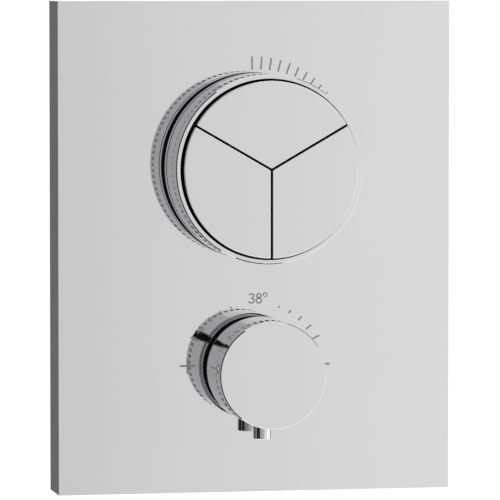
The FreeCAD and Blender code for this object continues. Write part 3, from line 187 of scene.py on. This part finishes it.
def tinted(tree, shader, colour, shade, darkest, lightest):
    """Gives the shader a colour whose brightness goes from darkest to lightest with a shade of 0 to 1."""
    base = add(tree, "ShaderNodeHueSaturation", {"Color": linear(colour)},
               Value=spread(tree, shade, darkest, lightest))
    tree.links.new(base.outputs[0], shader.inputs["Base Color"])


# ------------------------------------------------------------------------------------------------- chrome

CHROME = "#D9D9DA"
# The dark of thinly plated inner faces, which also serves as painted shade in and beside the gaps between
# parts.
THIN_PLATING_AND_PAINTED_SHADE = "#3B3A38"
THIN_PLATING_AND_PAINTED_SHADE_ROUGHNESS = 0.4
HAZE_LEAST, HAZE_MOST = 0.012, 0.045
PLATE_SWELL = 0.003 * MM
KNOB_SWELL = 0.001 * MM


def painted_shade_round(height, radius, depth, behind=1.0, before=-1.0):
    """Where painted shade goes: 1 on what lies inside a radius round an axis and further back than a depth,
    and on all that lies further back than behind or further forward than before; else 0."""
    def zone(tree):
        place = object_place(tree)
        off = distance(tree, place[0], sums(tree, "SUBTRACT", place[2], height))
        inner = sums(tree, "MULTIPLY", sums(tree, "LESS_THAN", off, radius),
                     sums(tree, "GREATER_THAN", place[1], depth))
        ends = sums(tree, "MAXIMUM", sums(tree, "GREATER_THAN", place[1], behind),
                    sums(tree, "LESS_THAN", place[1], before))
        return sums(tree, "MAXIMUM", inner, ends)
    return zone


def painted_shade_plate(half_width, half_height, depth):
    """1 on the inner faces of the plate's box, where the plate is painted dark for thin plating and painted
    shade, else 0.
    """
    def zone(tree):
        place = object_place(tree)
        across = sums(tree, "LESS_THAN", sums(tree, "ABSOLUTE", place[0]), half_width)
        along = sums(tree, "LESS_THAN", sums(tree, "ABSOLUTE", place[2]), half_height)
        behind = sums(tree, "GREATER_THAN", place[1], depth)
        return sums(tree, "MULTIPLY", sums(tree, "MULTIPLY", across, along), behind)
    return zone


def chrome(name, swell, painted_shade_zone=None):
    """Bright chromium plate over polished nickel. Polishing leaves a mirror with a faint swell, and wiping a
    slight upright haze. In the zone given to it the colour is painted dark and dull: the plating bath hardly
    reaches inner faces, and the dark also serves as painted shade that makes the gaps between parts black."""
    made, tree, shader = material(name)
    shader.inputs["Metallic"].default_value = 1.0
    points = object_points(tree)
    wiped = noise(tree, object_points(tree, (1, 1, 0.2)), 4 * MM, 4)
    haze = spread(tree, wiped, HAZE_LEAST, HAZE_MOST)
    tinted(tree, shader, CHROME, noise(tree, points, 35 * MM, 2), 0.99, 1.01)
    tree.links.new(haze, shader.inputs["Roughness"])
    if painted_shade_zone:
        # Painted shade: inside the zone the mirror turns dark and dull.
        zone = painted_shade_zone(tree)
        bright = shader.inputs["Base Color"].links[0].from_socket
        colour = add(tree, "ShaderNodeMix", {"data_type": "RGBA", 7: linear(THIN_PLATING_AND_PAINTED_SHADE)}, Factor=zone,
                     i6=bright)
        rough = add(tree, "ShaderNodeMix", {"data_type": "FLOAT", 3: THIN_PLATING_AND_PAINTED_SHADE_ROUGHNESS}, Factor=zone,
                    i2=haze)
        tree.links.new(colour.outputs[2], shader.inputs["Base Color"])
        tree.links.new(rough.outputs[0], shader.inputs["Roughness"])
    bump(tree, shader, noise(tree, points, 22 * MM, 1), swell)
    return made


# ---------------------------------------------------------------------------------------- other materials

PORT_DEPTH, PORT_REACH, TOP_PORT_REACH = 27.0 * MM, 50.0 * MM, 80.0 * MM
PORT_BORE, PORT_THREAD = 9.3 * MM, 13.0 * MM
PIPE_PITCH = 1.814 * MM
SIDE_PORT_HEIGHT = UPPER.z - 6.75 * MM


def machined_ports(tree):
    """1 on the faces and bores of the valve's ports, else 0, and the height of their threads: a triangle wave
    along each port's axis with the pitch of a half-inch pipe thread."""
    place = object_place(tree)
    back = sums(tree, "SUBTRACT", place[1], PORT_DEPTH)
    reach = sums(tree, "ABSOLUTE", place[0])

    def bore(beside, middle, along, start):
        off = distance(tree, back, sums(tree, "SUBTRACT", beside, middle))
        return sums(tree, "MULTIPLY", sums(tree, "LESS_THAN", off, PORT_BORE + 0.2 * MM),
                    sums(tree, "GREATER_THAN", along, start))

    side_start = PORT_REACH - PORT_THREAD
    sides = sums(tree, "MAXIMUM", bore(place[2], LOWER.z, reach, side_start),
                 bore(place[2], SIDE_PORT_HEIGHT, reach, side_start))
    top = bore(place[0], 0.0, place[2], TOP_PORT_REACH - PORT_THREAD)
    faces = sums(tree, "MAXIMUM", sums(tree, "GREATER_THAN", reach, PORT_REACH - 0.1 * MM),
                 sums(tree, "GREATER_THAN", place[2], TOP_PORT_REACH - 0.1 * MM))
    turned = sums(tree, "MAXIMUM", sums(tree, "MAXIMUM", sides, top), faces)
    run = sums(tree, "ADD", sums(tree, "MULTIPLY", reach, sides), sums(tree, "MULTIPLY", place[2], top))
    return turned, sums(tree, "PINGPONG", run, PIPE_PITCH / 2)


def cast_brass():
    """Sand-cast brass. The mould's sand leaves a grainy matt skin with faint clouds. The ports are turned
    bright and threaded. The grains are 0.8 mm, about three times those of moulding sand, so that they show."""
    made, tree, shader = material("sand_cast_brass")
    shader.inputs["Metallic"].default_value = 1.0
    points = object_points(tree)
    cloud = noise(tree, points, 14 * MM, 6, 0.6)
    turned, thread = machined_ports(tree)
    skin = add(tree, "ShaderNodeMix", {"data_type": "RGBA", 6: linear("#A88A52"), 7: linear("#BF9F62")},
               Factor=cloud)
    colour = add(tree, "ShaderNodeMix", {"data_type": "RGBA", 7: linear("#D6B877")}, Factor=turned,
                 i6=skin.outputs[2])
    rough = add(tree, "ShaderNodeMix", {"data_type": "FLOAT", 3: 0.24}, Factor=turned,
                i2=spread(tree, cloud, 0.46, 0.6))
    tree.links.new(colour.outputs[2], shader.inputs["Base Color"])
    tree.links.new(rough.outputs[0], shader.inputs["Roughness"])
    grain = sums(tree, "MULTIPLY", noise(tree, points, 0.8 * MM, 4, 0.65), 0.14 * MM)
    skin_relief = sums(tree, "MULTIPLY", grain, sums(tree, "SUBTRACT", 1.0, turned))
    bump(tree, shader, sums(tree, "ADD", skin_relief, thread), 1.0)
    return made


LINE_SCALE = 4.4 * MM


def turned_metal(name, dark, light, rough, axis="Y"):
    """Metal as it comes off the lathe, the drawing die or the rolls: fine lines across one axis and a little
    stain. The wave repeats every 2 pi / 20 of its scale, so the lines are 1.4 mm apart. That is several times
    a tool's feed, because finer ones would not show."""
    made, tree, shader = material(name)
    shader.inputs["Metallic"].default_value = 1.0
    points = object_points(tree)
    stain = noise(tree, points, 5 * MM, 3)
    colour = add(tree, "ShaderNodeMix", {"data_type": "RGBA", 6: linear(dark), 7: linear(light)}, Factor=stain)
    tree.links.new(colour.outputs[2], shader.inputs["Base Color"])
    tree.links.new(spread(tree, stain, rough * 0.8, rough * 1.3), shader.inputs["Roughness"])
    lines = add(tree, "ShaderNodeTexWave", {"Scale": 1 / LINE_SCALE, "Distortion": 0.4, "wave_type": "BANDS",
                                            "bands_direction": axis}, Vector=points)
    bump(tree, shader, lines.outputs["Fac"], 0.006 * MM)
    return made


def moulded(name, colour, rough, grain=0.35, relief=0.012):
    """Injection-moulded plastic or rubber: an even colour with a faint cloud and the fine grain of a
    spark-eroded mould; grain and relief in millimetres."""
    made, tree, shader = material(name)
    shader.inputs["IOR"].default_value = 1.5
    points = object_points(tree)
    cloud = noise(tree, points, 12 * MM, 2)
    tinted(tree, shader, colour, cloud, 0.94, 1.05)
    tree.links.new(spread(tree, cloud, rough * 0.85, rough * 1.15), shader.inputs["Roughness"])
    bump(tree, shader, noise(tree, points, grain * MM, 2), relief * MM)
    return made


def ceramic():
    """Lapped alumina: cream white, nearly a mirror where it is lapped flat."""
    made, tree, shader = material("lapped_alumina")
    shader.inputs["IOR"].default_value = 1.76
    speck = noise(tree, object_points(tree), 0.5 * MM, 2)
    tinted(tree, shader, "#E9E4D6", speck, 0.95, 1.03)
    tree.links.new(spread(tree, speck, 0.1, 0.22), shader.inputs["Roughness"])
    return made


def ink():
    """Pad-printed ink on chrome: brown grey, matt, a little uneven where the pad left less of it."""
    made, tree, shader = material("pad_printed_ink")
    cover = noise(tree, object_points(tree), 0.5 * MM, 3)
    tinted(tree, shader, "#8C887E", cover, 0.85, 1.15)
    tree.links.new(spread(tree, cover, 0.45, 0.6), shader.inputs["Roughness"])
    return made


SLOT_MATERIALS = {
    # Mirrors of what stands round them; the plate swells a little more than the turned pieces.
    # The plate's inner faces are painted dark: thin plating, and painted shade where they show in the gaps.
    "chrome_plate": chrome("polished_chrome_plate", PLATE_SWELL,
                           painted_shade_plate(plate_high.x - 2 * MM, plate_high.z - 2 * MM, PLATE_FRONT + 2 * MM)),
    "chrome_knob": chrome("polished_chrome", KNOB_SWELL),
    # Yellow brass, matt as cast and shiny as turned.
    "brass_casting": cast_brass(),
    "brass_turned": turned_metal("turned_brass", "#B08D4F", "#D2B072", 0.24),
    # Steels from bright to satin; the zinc is bluer and duller, the rolled sheet's lines run across it.
    "steel_screw": turned_metal("bright_steel_screws", "#A9ABAD", "#C9CBCD", 0.28),
    "steel_spring": turned_metal("drawn_stainless_wire", "#9EA1A4", "#C3C6C9", 0.22),
    "zinc_bracket": turned_metal("zinc_plated_sheet", "#9DA3A8", "#BCC3C8", 0.38, "X"),
    "strainer_mesh": turned_metal("perforated_stainless", "#9A9DA0", "#B9BCBF", 0.35),
    "copper_element": turned_metal("drawn_copper", "#A8623F", "#C98660", 0.25),
    # Rubber is the dullest, acetal has a waxy sheen, glass-filled nylon is greyer and grainier.
    "black_rubber": moulded("epdm_rubber", "#1B1B1C", 0.62, 0.5, 0.03),
    "white_moulding": moulded("white_acetal", "#DAD9D4", 0.38),
    "black_moulding": moulded("black_glass_filled_nylon", "#1D1E20", 0.48, 0.4, 0.02),
    "blue_moulding": moulded("blue_acetal", "#2B4C86", 0.4),
    "grey_moulding": moulded("grey_ppsu", "#77797B", 0.42),
    "ceramic_disc": ceramic(),
}
INK = ink()


def dress(node, made):
    """Gives a CAD node one material."""
    slots = frame["nodes"][node].data.materials
    slots.clear()
    slots.append(made)


def dress_round_chrome(node, *painted_shade_zone):
    """Chrome for one round piece, with painted shade in the zone that the other values mark out."""
    dress(node, chrome(f"polished_chrome_{node}", KNOB_SWELL, painted_shade_round(*painted_shade_zone)))


for entry in frame["record"]["subparts"]:
    dress(entry["node"], SLOT_MATERIALS[entry["material_slot"]])

# Painted shade: inner faces in the gaps between parts are dark, and so are narrow bands of chrome that can be
# seen: on both sides of the seam between upper collar and ring, and on each collar's side next to the shadow
# gap at the plate. Their widths were chosen by trial, so that these lines come near to the photograph's. Real
# plating has no such bands.
SEAM_GAP, SEAM_PAINTED_SHADE = 0.3 * MM, 0.9 * MM
UPPER_SHADOW, LOWER_SHADOW = 5.0 * MM, 5.6 * MM
dress_round_chrome("upper_collar", UPPER.z, RING_RADIUS - 0.5 * MM, UPPER_COLLAR_FRONT - 1 * MM,
                   PLATE_FRONT - UPPER_SHADOW, UPPER_COLLAR_FRONT + SEAM_PAINTED_SHADE)
dress_round_chrome("flow_ring", UPPER.z, RING_RADIUS - 1.2 * MM, RING_FRONT + 0.3 * MM,
                   UPPER_COLLAR_FRONT - SEAM_GAP - SEAM_PAINTED_SHADE)
dress_round_chrome("lower_collar", LOWER.z, LOWER_COLLAR_RADIUS - 0.5 * MM, LOWER_COLLAR_FRONT + 1 * MM,
                   PLATE_FRONT - LOWER_SHADOW)
dress_round_chrome("temperature_knob", LOWER.z, KNOB_RADIUS - 1.6 * MM, KNOB_FRONT + 1 * MM)

# ------------------------------------------------------------------------------------- push-button segments

BUTTON_CLOCK = {"top": 0, "right": 120, "left": 240}
BUTTON_RADIUS = 37.3 * MM
SEGMENT_GAP = 0.9 * MM
CORNER = 0.5 * MM
EDGE_ROUND, GAP_ROUND = 0.45 * MM, 0.2 * MM
SKIRT, FACE, WALL = 10.5 * MM, 3.0 * MM, 1.8 * MM
BOSS_WALL, ROD_PLAY, SOCKET_DEPTH = 2.0 * MM, 0.06 * MM, 0.4 * MM
GUIDE_PIN_CIRCLE, GUIDE_PIN_RADIUS, GUIDE_PIN_END = 28.0 * MM, 2.0 * MM, 17.0 * MM
ROOT = 0.5 * MM  # how far boss and pin are sunk into the face's back
SUPPORT = 0.05 * MM  # a narrow band that keeps the flat face flat beside its rounded edge
ARC_STEPS, CORNER_STEPS, SIDE_STEPS, ROUND_STEPS, POST_STEPS = 97, 9, 25, 8, 32


def segment_outline(radius, gap):
    """The outline of a third of a disc: a core of one arc and two straight sides, and at each of its points a
    direction outwards that turns round the corners. A place on the outline is core point + CORNER * direction,
    so that every corner is round. The last value is 1 on the arc, 0 on the sides and slides between them round
    the corners."""
    radius, gap = radius - CORNER, gap + CORNER
    slant = math.radians(60)
    reach = slant - math.asin(gap / radius)
    swing = np.linspace(-reach, reach, ARC_STEPS)
    circle = np.column_stack([np.sin(swing), np.cos(swing)])
    start, end = circle[0] * radius, circle[-1] * radius
    right = np.array([math.cos(slant), -math.sin(slant)])
    left = right * [-1, 1]
    apex = np.array([[0, gap / math.sin(slant)]])

    def turn(first, last):
        share = np.linspace(0, 1, CORNER_STEPS)[:, None]
        way = (1 - share) * first + share * last
        return way / np.linalg.norm(way, axis=1)[:, None]

    corner = np.ones((CORNER_STEPS, 1))
    run = np.linspace(0.02, 0.98, SIDE_STEPS)[:, None]
    core = np.vstack([circle * radius, corner * end, (1 - run) * end + run * apex, corner * apex,
                      (1 - run) * apex + run * start, corner * start])
    out = np.vstack([circle, turn(circle[-1], right), np.repeat([right], SIDE_STEPS, 0), turn(right, left),
                     np.repeat([left], SIDE_STEPS, 0), turn(left, circle[0])])
    on_arc = np.concatenate([np.ones(ARC_STEPS), np.linspace(1, 0, CORNER_STEPS),
                             np.zeros(2 * SIDE_STEPS + CORNER_STEPS), np.linspace(0, 1, CORNER_STEPS)])
    edge = core + CORNER * out
    apart = np.linalg.norm(np.diff(edge, axis=0, append=edge[:1]), axis=1) > 1e-7
    return core[apart], out[apart], on_arc[apart]


def segment_shell():
    """A button's shell as rings one behind the other: the face, its rounded edge as a quarter circle whose
    radius is wider on the arc than on the gaps, the skirt's outside, and up its inside to the face's back.
    A ring's place is the outline drawn in by the step's inset, set back by the step's depth; both are a share
    of the edge's rounding plus a length."""
    quarter = np.radians(np.linspace(0, 90, ROUND_STEPS))
    steps = [(1, SUPPORT, 0, 0)] + [(1 - math.sin(a), 0, 1 - math.cos(a), 0) for a in quarter]
    steps += [(0, 0, 1, SUPPORT), (0, 0, 0, SKIRT), (0, WALL, 0, SKIRT), (0, WALL, 0, FACE)]
    rings = []
    for inset_share, inset, depth_share, depth in steps:
        core, out, on_arc = segment_outline(BUTTON_RADIUS - inset_share * EDGE_ROUND - inset,
                                            SEGMENT_GAP / 2 + inset_share * GAP_ROUND + inset)
        rounding = GAP_ROUND + (EDGE_ROUND - GAP_ROUND) * on_arc
        flat = core + CORNER * out
        rings.append(np.column_stack([flat[:, 0], BUTTON_FRONT + depth_share * rounding + depth, flat[:, 1]]))
    return rings_and_caps(np.stack(rings))


def turned_post(reach, outline):
    """A post turned round an axis along Y at a reach above the knob's axis: a circle for each (radius, depth),
    closed by a polygon at each end."""
    angle = np.linspace(0, 2 * math.pi, POST_STEPS, endpoint=False)
    rings = [np.column_stack([radius * np.sin(angle), np.full(POST_STEPS, BUTTON_FRONT + depth),
                              reach + radius * np.cos(angle)]) for radius, depth in outline]
    return rings_and_caps(np.stack(rings))


def make_button(side, made):
    """One push button: its shell, the boss round its push rod and its guide pin, turned to its third."""
    boss, socket, under = ROD_RADIUS + BOSS_WALL, ROD_RADIUS + ROD_PLAY, FACE - ROOT
    rod_circle = (rod_low.z + rod_high.z) / 2 - UPPER.z
    rod_boss = [(boss, under), (boss, SKIRT), (socket, SKIRT), (socket, FACE + SOCKET_DEPTH)]
    guide_pin = [(GUIDE_PIN_RADIUS, under), (GUIDE_PIN_RADIUS, GUIDE_PIN_END)]
    points, faces = join([segment_shell(), turned_post(rod_circle, rod_boss),
                          turned_post(GUIDE_PIN_CIRCLE, guide_pin)])
    turn = math.radians(BUTTON_CLOCK[side])
    across = points[:, 0] * math.cos(turn) + points[:, 2] * math.sin(turn)
    up = points[:, 2] * math.cos(turn) - points[:, 0] * math.sin(turn)
    placed = np.column_stack([across, points[:, 1], up + UPPER.z])
    piece = new_object(f"button_segment_{side}", placed, faces, made)
    piece.data.shade_smooth()
    piece.data.set_sharp_from_angle(angle=math.radians(30))
    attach(piece, f"button_{side}")
    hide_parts(f"button_{side}")


# Painted shade on the walls inside the gaps between the segments, from half a millimetre behind the face, and
# on all that lies from just in front of the ring's front backwards.
button_chrome = chrome("polished_chrome_buttons", KNOB_SWELL, painted_shade_round(
    UPPER.z, BUTTON_RADIUS - 1 * MM, BUTTON_FRONT + 0.5 * MM, RING_FRONT - 0.2 * MM))
for side in BUTTON_CLOCK:
    make_button(side, button_chrome)

# --------------------------------------------------------------------------------------- printed markings

INK_DEPTH = 0.03 * MM
INK_LIFT = 0.1 * INK_DEPTH  # keeps the ink's back off the plate
STROKE, SIGN_STROKE, DIGIT_STROKE = 0.7 * MM, 0.8 * MM, 0.56 * MM


def slab(flat):
    """A flat outline in X and Z made into a thin closed slab on the plate's front; faces look outwards."""
    count = len(flat)
    near = np.column_stack([flat[:, 0], np.full(count, PLATE_FRONT - INK_DEPTH), flat[:, 1]])
    far = near + np.array([0, INK_DEPTH - INK_LIFT, 0])
    i = np.arange(count)
    j = (i + 1) % count
    sides = np.column_stack([i, count + i, count + j, j])
    return np.vstack([near, far]), [i.tolist(), (2 * count - 1 - i).tolist()] + sides.tolist()


def printed_bar(start, end, width):
    """A printed stroke: a rectangle from start to end across X and Z."""
    start, end = np.array(start), np.array(end)
    along = (end - start) / np.linalg.norm(end - start)
    side = np.array([-along[1], along[0]]) * width / 2
    return slab(np.array([start - side, end - side, end + side, start + side]))


def printed_dot(centre, radius, count=20):
    """A printed dot: a regular polygon."""
    turn = np.linspace(0, 2 * math.pi, count, endpoint=False)
    return slab(np.array(centre) + radius * np.stack([np.cos(turn), np.sin(turn)], 1))


def ribbon(path, width):
    """A printed line of even width along a path of points in X and Z, closed where the path ends at its start:
    four rails at half the width to either side, near and far, and quads between each two of them."""
    closed = np.allclose(path[0], path[-1])
    step = np.gradient(path, axis=0)
    if closed:
        step[0] = step[-1] = path[1] - path[-2]
    step /= np.linalg.norm(step, axis=1)[:, None]
    side = np.stack([-step[:, 1], step[:, 0]], 1) * width / 2
    if closed:
        path, side = path[:-1], side[:-1]
    count = len(path)
    rails = [np.column_stack([flat[:, 0], np.full(count, PLATE_FRONT - depth), flat[:, 1]])
             for flat in (path - side, path + side) for depth in (INK_DEPTH, INK_LIFT)]
    i = np.arange(count if closed else count - 1)
    j = (i + 1) % count
    faces = np.vstack([np.column_stack([a * count + i, a * count + j, b * count + j, b * count + i])
                       for a, b in ((0, 2), (2, 3), (3, 1), (1, 0))]).tolist()
    if not closed:
        faces.append([0, 2 * count, 3 * count, count])
        faces.append([count - 1, 2 * count - 1, 4 * count - 1, 3 * count - 1])
    return np.vstack(rails), faces


def arc(centre, radii, start, end, count=28):
    """Points of an elliptical arc; angles in degrees, anticlockwise from the right."""
    turn = np.radians(np.linspace(start, end, count))
    return np.column_stack([centre[0] + radii[0] * np.cos(turn), centre[1] + radii[1] * np.sin(turn)])


def on_dial(centre, clock_deg, radius):
    """A place on a dial: the angle runs clockwise from twelve o'clock, as seen from the front."""
    angle = math.radians(clock_deg)
    return (centre.x + radius * math.sin(angle), centre.z + radius * math.cos(angle))


def flow_scale():
    """The volume scale: strokes centred on one circle that shrink clockwise, then two dots."""
    circle = 44.1 * MM
    start, step = -1.7, 5.2
    lengths = [5.7, 5.4, 5.2, 5.0, 4.8, 4.3, 3.7, 3.0, 1.9]
    dots = [0.4, 0.22]
    shapes = []
    for i, length in enumerate(lengths):
        angle, half = start + step * i, length * MM / 2
        shapes.append(printed_bar(on_dial(UPPER, angle, circle - half), on_dial(UPPER, angle, circle + half),
                                  STROKE))
    for i, radius in enumerate(dots, len(lengths)):
        shapes.append(printed_dot(on_dial(UPPER, start + step * i, circle), radius * MM))
    return shapes


def temperature_scale():
    """The temperature scale: to either side a dot, then strokes that grow outwards from one circle."""
    inner, dot_circle, dot = 27.5 * MM, 28.0 * MM, 0.42 * MM
    start, step = 21.9, 10.6
    shapes = []
    for side in (-1, 1):
        shapes.append(printed_dot(on_dial(LOWER, side * start, dot_circle), dot))
        for i, length in enumerate((1.5, 2.3, 3.0, 3.7), 1):
            angle = side * (start + step * i)
            shapes.append(printed_bar(on_dial(LOWER, angle, inner), on_dial(LOWER, angle, inner + length * MM),
                                      STROKE))
    return shapes


def signs():
    """Plus at nine o'clock for hotter, minus at three o'clock for cooler, a little above the axis."""
    reach, half, edge = 29.4 * MM, 3.3 * MM, SIGN_STROKE / 2
    plus, minus, z = LOWER.x - reach, LOWER.x + reach, LOWER.z + 1.2 * MM
    return [printed_bar(start, end, SIGN_STROKE) for start, end in (
        ((plus - half, z), (plus + half, z)),
        ((plus, z - half), (plus, z - edge)),
        ((plus, z + edge), (plus, z + half)),
        ((minus - half, z), (minus + half, z)),
    )]


def number_38():
    """38 degrees in thin strokes: two arcs for the three, two ovals for the eight, a small circle. A digit's
    upper bow has 0.23 of its height as radius, its lower bow 0.27; across they are a share of its width."""
    left, low, wide, tall = LOWER.x - 2.9 * MM, LOWER.z + 27.5 * MM, 2.55 * MM, 4.75 * MM
    edge = DIGIT_STROKE / 2
    upper, lower = tall * 0.23, tall * 0.27
    upper_z, lower_z = low + 2 * lower + upper - edge, low + lower
    three, eight, sign = left + wide * 0.5, left + wide * 1.78, left + wide * 2.86
    narrow, broad, small = wide * 0.38, wide * 0.46, 0.82 * MM
    return [
        ribbon(arc((three, upper_z), (wide * 0.42, upper - edge), 165, -88), DIGIT_STROKE),
        ribbon(arc((three, lower_z), (broad, lower - edge), 88, -165), DIGIT_STROKE),
        ribbon(arc((eight, upper_z), (narrow, upper - edge), 0, 360, 41), DIGIT_STROKE),
        ribbon(arc((eight, lower_z), (broad, lower - edge), 0, 360, 41), DIGIT_STROKE),
        ribbon(arc((sign, low + tall - 0.95 * MM), (small, small), 0, 360, 33), DIGIT_STROKE * 0.75),
    ]


for name, shapes in (("printed_flow_scale", flow_scale()), ("printed_temperature_scale", temperature_scale()),
                     ("printed_plus_and_minus", signs()), ("printed_38", number_38())):
    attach(new_object(name, *join(shapes), INK), "valve")

# ------------------------------------------------------------------------------- camera, light and studio

# Found by fitting the plate's edges and the knobs' circles in the photograph's frame; angles in radians.
CAMERA_PLACE = Vector((-0.38713, -1.98907, 0.12108))
CAMERA_YAW, CAMERA_PITCH = 0.19343, -0.06104
LENS = 338.0

FLOOR = -0.45
CARD_FOOT = -0.44
CARD_PEAK = 1.6  # the brightness that a card's ramp calls 1
# The cards stand on a circle round the valve, and only its mirrors see them. Each has its distance and its low
# and high edge in metres, and tones: degrees (0 is in front, 90 to the right), brightness, blueness. The plate
# mirrors the front card from 5.8 to 16 degrees, so those tones were worked out from the plate's own in the
# photograph. The others were tuned until the chrome came near to it; the real studio is not known.
CARDS = [
    ("card_front", 1.7, CARD_FOOT, 3.2, [
        (-96, 0.012, 0.0), (-68, 0.03, 0.0), (-60, 0.38, 0.01), (-28, 0.52, 0.03), (-11, 0.56, 0.03),
        (0, 0.70, 0.02), (5.8, 0.833, 0.0), (8.07, 0.879, 0.0), (9.2, 0.909, 0.0), (11.5, 0.938, 0.0),
        (13.7, 0.978, 0.0), (16, 1.0, 0.0), (38, 1.0, 0.0), (42, 1.5, 0.0), (74, 1.35, 0.0), (79, 0.45, 0.0),
        (96, 0.4, 0.0)]),
    ("card_beside_pin", 1.66, -0.38, -0.10, [(-70, 0.02, 0.0), (-47, 0.05, 0.01), (-41, 0.36, 0.03)]),
    ("card_above", 1.62, 0.225, 0.42, [(-8.5, 0.57, 0.03), (4.0, 0.62, 0.02)]),
    ("card_below", 1.62, CARD_FOOT, -0.19, [(-12, 0.56, 0.03), (2.5, 0.62, 0.02)]),
    ("card_back_left", 1.6, CARD_FOOT, 0.9, [(-179, 0.15, 0.0), (-150, 0.18, 0.0)]),
    ("card_back_right", 1.6, CARD_FOOT, 0.9, [(134, 0.5, 0.0), (160, 0.35, 0.0)]),
]
# Two dark things, tuned in the same way: a velvet flag and a cloth on the floor.
FLAG_LEFT, FLAG_RIGHT, FLAG_LOW, FLAG_HIGH, FLAG_NEAR = -0.188, -0.140, 0.055, 0.112, -1.0
FLAG_TONES = [(-14, 0.004, 0.0), (-6, 0.004, 0.0)]
CLOTH_INNER, CLOTH_OUTER = 0.2, 1.68
CLOTH_TONES = [(-96, 0.02, 0.0), (-62, 0.03, 0.0)]


def make_camera():
    """A long lens to the left of the valve and a little above it, as the photograph was taken."""
    data = bpy.data.cameras.new("camera")
    data.lens = LENS
    data.sensor_width = 36
    data.clip_start = 0.05
    data.clip_end = 60
    camera = bpy.data.objects.new("camera", data)
    camera.location = CAMERA_PLACE
    camera.rotation_euler = Euler((math.pi / 2 + CAMERA_PITCH, 0, -CAMERA_YAW), "XYZ")
    bpy.context.scene.collection.objects.link(camera)
    bpy.context.scene.camera = camera


def stage_mesh(name, points, faces, made):
    """A piece of the studio, not of the valve."""
    thing = new_object(name, np.array(points), faces, made)
    return thing


def glowing(name):
    """A material with an empty tree, for the studio."""
    made = bpy.data.materials.new(name)
    made.use_nodes = True
    made.node_tree.nodes.clear()
    return made, made.node_tree


def seen_directly(tree):
    """1 for rays from the camera and for those that metal or glass sends on, else 0."""
    path = add(tree, "ShaderNodeLightPath").outputs
    return sums(tree, "MAXIMUM", sums(tree, "MAXIMUM", path["Is Camera Ray"], path["Is Glossy Ray"]),
                path["Is Transmission Ray"])


def make_world():
    """A white studio: plain white where it is seen, softer where it only lights."""
    world = bpy.data.worlds.new("studio")
    bpy.context.scene.world = world
    world.use_nodes = True
    tree = world.node_tree
    tree.nodes.clear()
    strength = spread(tree, seen_directly(tree), 0.55, 1.0)
    background = add(tree, "ShaderNodeBackground", {"Color": (1, 1, 1, 1)}, Strength=strength)
    add(tree, "ShaderNodeOutputWorld", None, i0=background.outputs[0])


def make_floor():
    """A pale floor well below the valve: white where it is seen, except for the share that shadows take."""
    made, tree = glowing("pale_floor")
    paint = add(tree, "ShaderNodeBsdfDiffuse", {"Color": linear("#F4F4F4")})
    glow = add(tree, "ShaderNodeEmission", {"Color": (1, 1, 1, 1), "Strength": 1.2})
    share = spread(tree, seen_directly(tree), 0.0, 0.8)
    mix = add(tree, "ShaderNodeMixShader", None, Fac=share, i1=paint.outputs[0], i2=glow.outputs[0])
    add(tree, "ShaderNodeOutputMaterial", None, i0=mix.outputs[0])
    reach = 90.0
    corners = [(-reach, -reach, FLOOR), (reach, -reach, FLOOR), (reach, reach, FLOOR), (-reach, reach, FLOOR)]
    stage_mesh("floor", corners, [(0, 1, 2, 3)], made)


def card_material(name, tones):
    """A card that glows in greys, which follow the direction round the valve."""
    made, tree = glowing(name)
    place = object_place(tree)
    angle = sums(tree, "ARCTAN2", place[0], sums(tree, "MULTIPLY", place[1], -1.0))
    fraction = sums(tree, "ADD", sums(tree, "DIVIDE", angle, 2 * math.pi), 0.5)
    ramp = add(tree, "ShaderNodeValToRGB", None, Fac=fraction)
    stops = ramp.color_ramp.elements
    while len(stops) < len(tones):
        stops.new(0.5)
    for stop, (degrees, brightness, blueness) in zip(stops, tones):
        stop.position = degrees / 360 + 0.5
        scaled = brightness / CARD_PEAK
        stop.color = (scaled * (1 - blueness), scaled * (1 - blueness), scaled, 1)
    glow = add(tree, "ShaderNodeEmission", {"Strength": CARD_PEAK}, Color=ramp.outputs[0])
    add(tree, "ShaderNodeOutputMaterial", None, i0=glow.outputs[0])
    return made


def make_card(name, points, faces, made):
    """A card that only the mirrors see."""
    card = stage_mesh(name, points, faces, made)
    card.visible_camera = False
    card.visible_diffuse = False
    card.visible_shadow = False


def strip(first, last, count, low_edge, high_edge):
    """A bent strip between two edges, each a (distance, height), from one direction to another in degrees."""
    turn = np.radians(np.linspace(first, last, count))
    edges = [np.column_stack([np.sin(turn) * reach, -np.cos(turn) * reach, np.full(count, height)])
             for reach, height in (low_edge, high_edge)]
    return np.vstack(edges), [(i, i + 1, count + i + 1, count + i) for i in range(count - 1)]


def make_cards():
    """The cards, the velvet flag and the cloth."""
    for name, reach, low, high, tones in CARDS:
        points, faces = strip(tones[0][0], tones[-1][0], 33, (reach, low), (reach, high))
        make_card(name, points, faces, card_material(name, tones))
    flag = [(FLAG_LEFT, FLAG_NEAR, FLAG_LOW), (FLAG_RIGHT, FLAG_NEAR, FLAG_LOW),
            (FLAG_RIGHT, FLAG_NEAR, FLAG_HIGH), (FLAG_LEFT, FLAG_NEAR, FLAG_HIGH)]
    make_card("dark_flag", flag, [(0, 1, 2, 3)], card_material("black_velvet", FLAG_TONES))
    points, faces = strip(CLOTH_TONES[0][0], CLOTH_TONES[-1][0], 19, (CLOTH_INNER, CARD_FOOT),
                          (CLOTH_OUTER, CARD_FOOT))
    make_card("dark_cloth_on_floor", points, faces, card_material("black_cloth", CLOTH_TONES))


def make_lamp(name, place, size, power):
    """A soft box aimed at the middle of the plate."""
    data = bpy.data.lights.new(name, "AREA")
    data.shape = "DISK"
    data.size = size
    data.energy = power
    lamp = bpy.data.objects.new(name, data)
    lamp.location = place
    lamp.rotation_euler = (-Vector(place)).to_track_quat("-Z", "Y").to_euler()
    bpy.context.scene.collection.objects.link(lamp)


make_camera()
make_world()
make_floor()
make_cards()
make_lamp("soft_box_right", (2.4, -2.2, 2.0), 1.4, 55)
make_lamp("soft_box_left", (-2.6, -1.4, 2.4), 1.2, 30)
make_lamp("soft_box_behind", (0.6, 2.8, 2.2), 1.4, 35)

bpy.context.scene.view_settings.view_transform = "Standard"
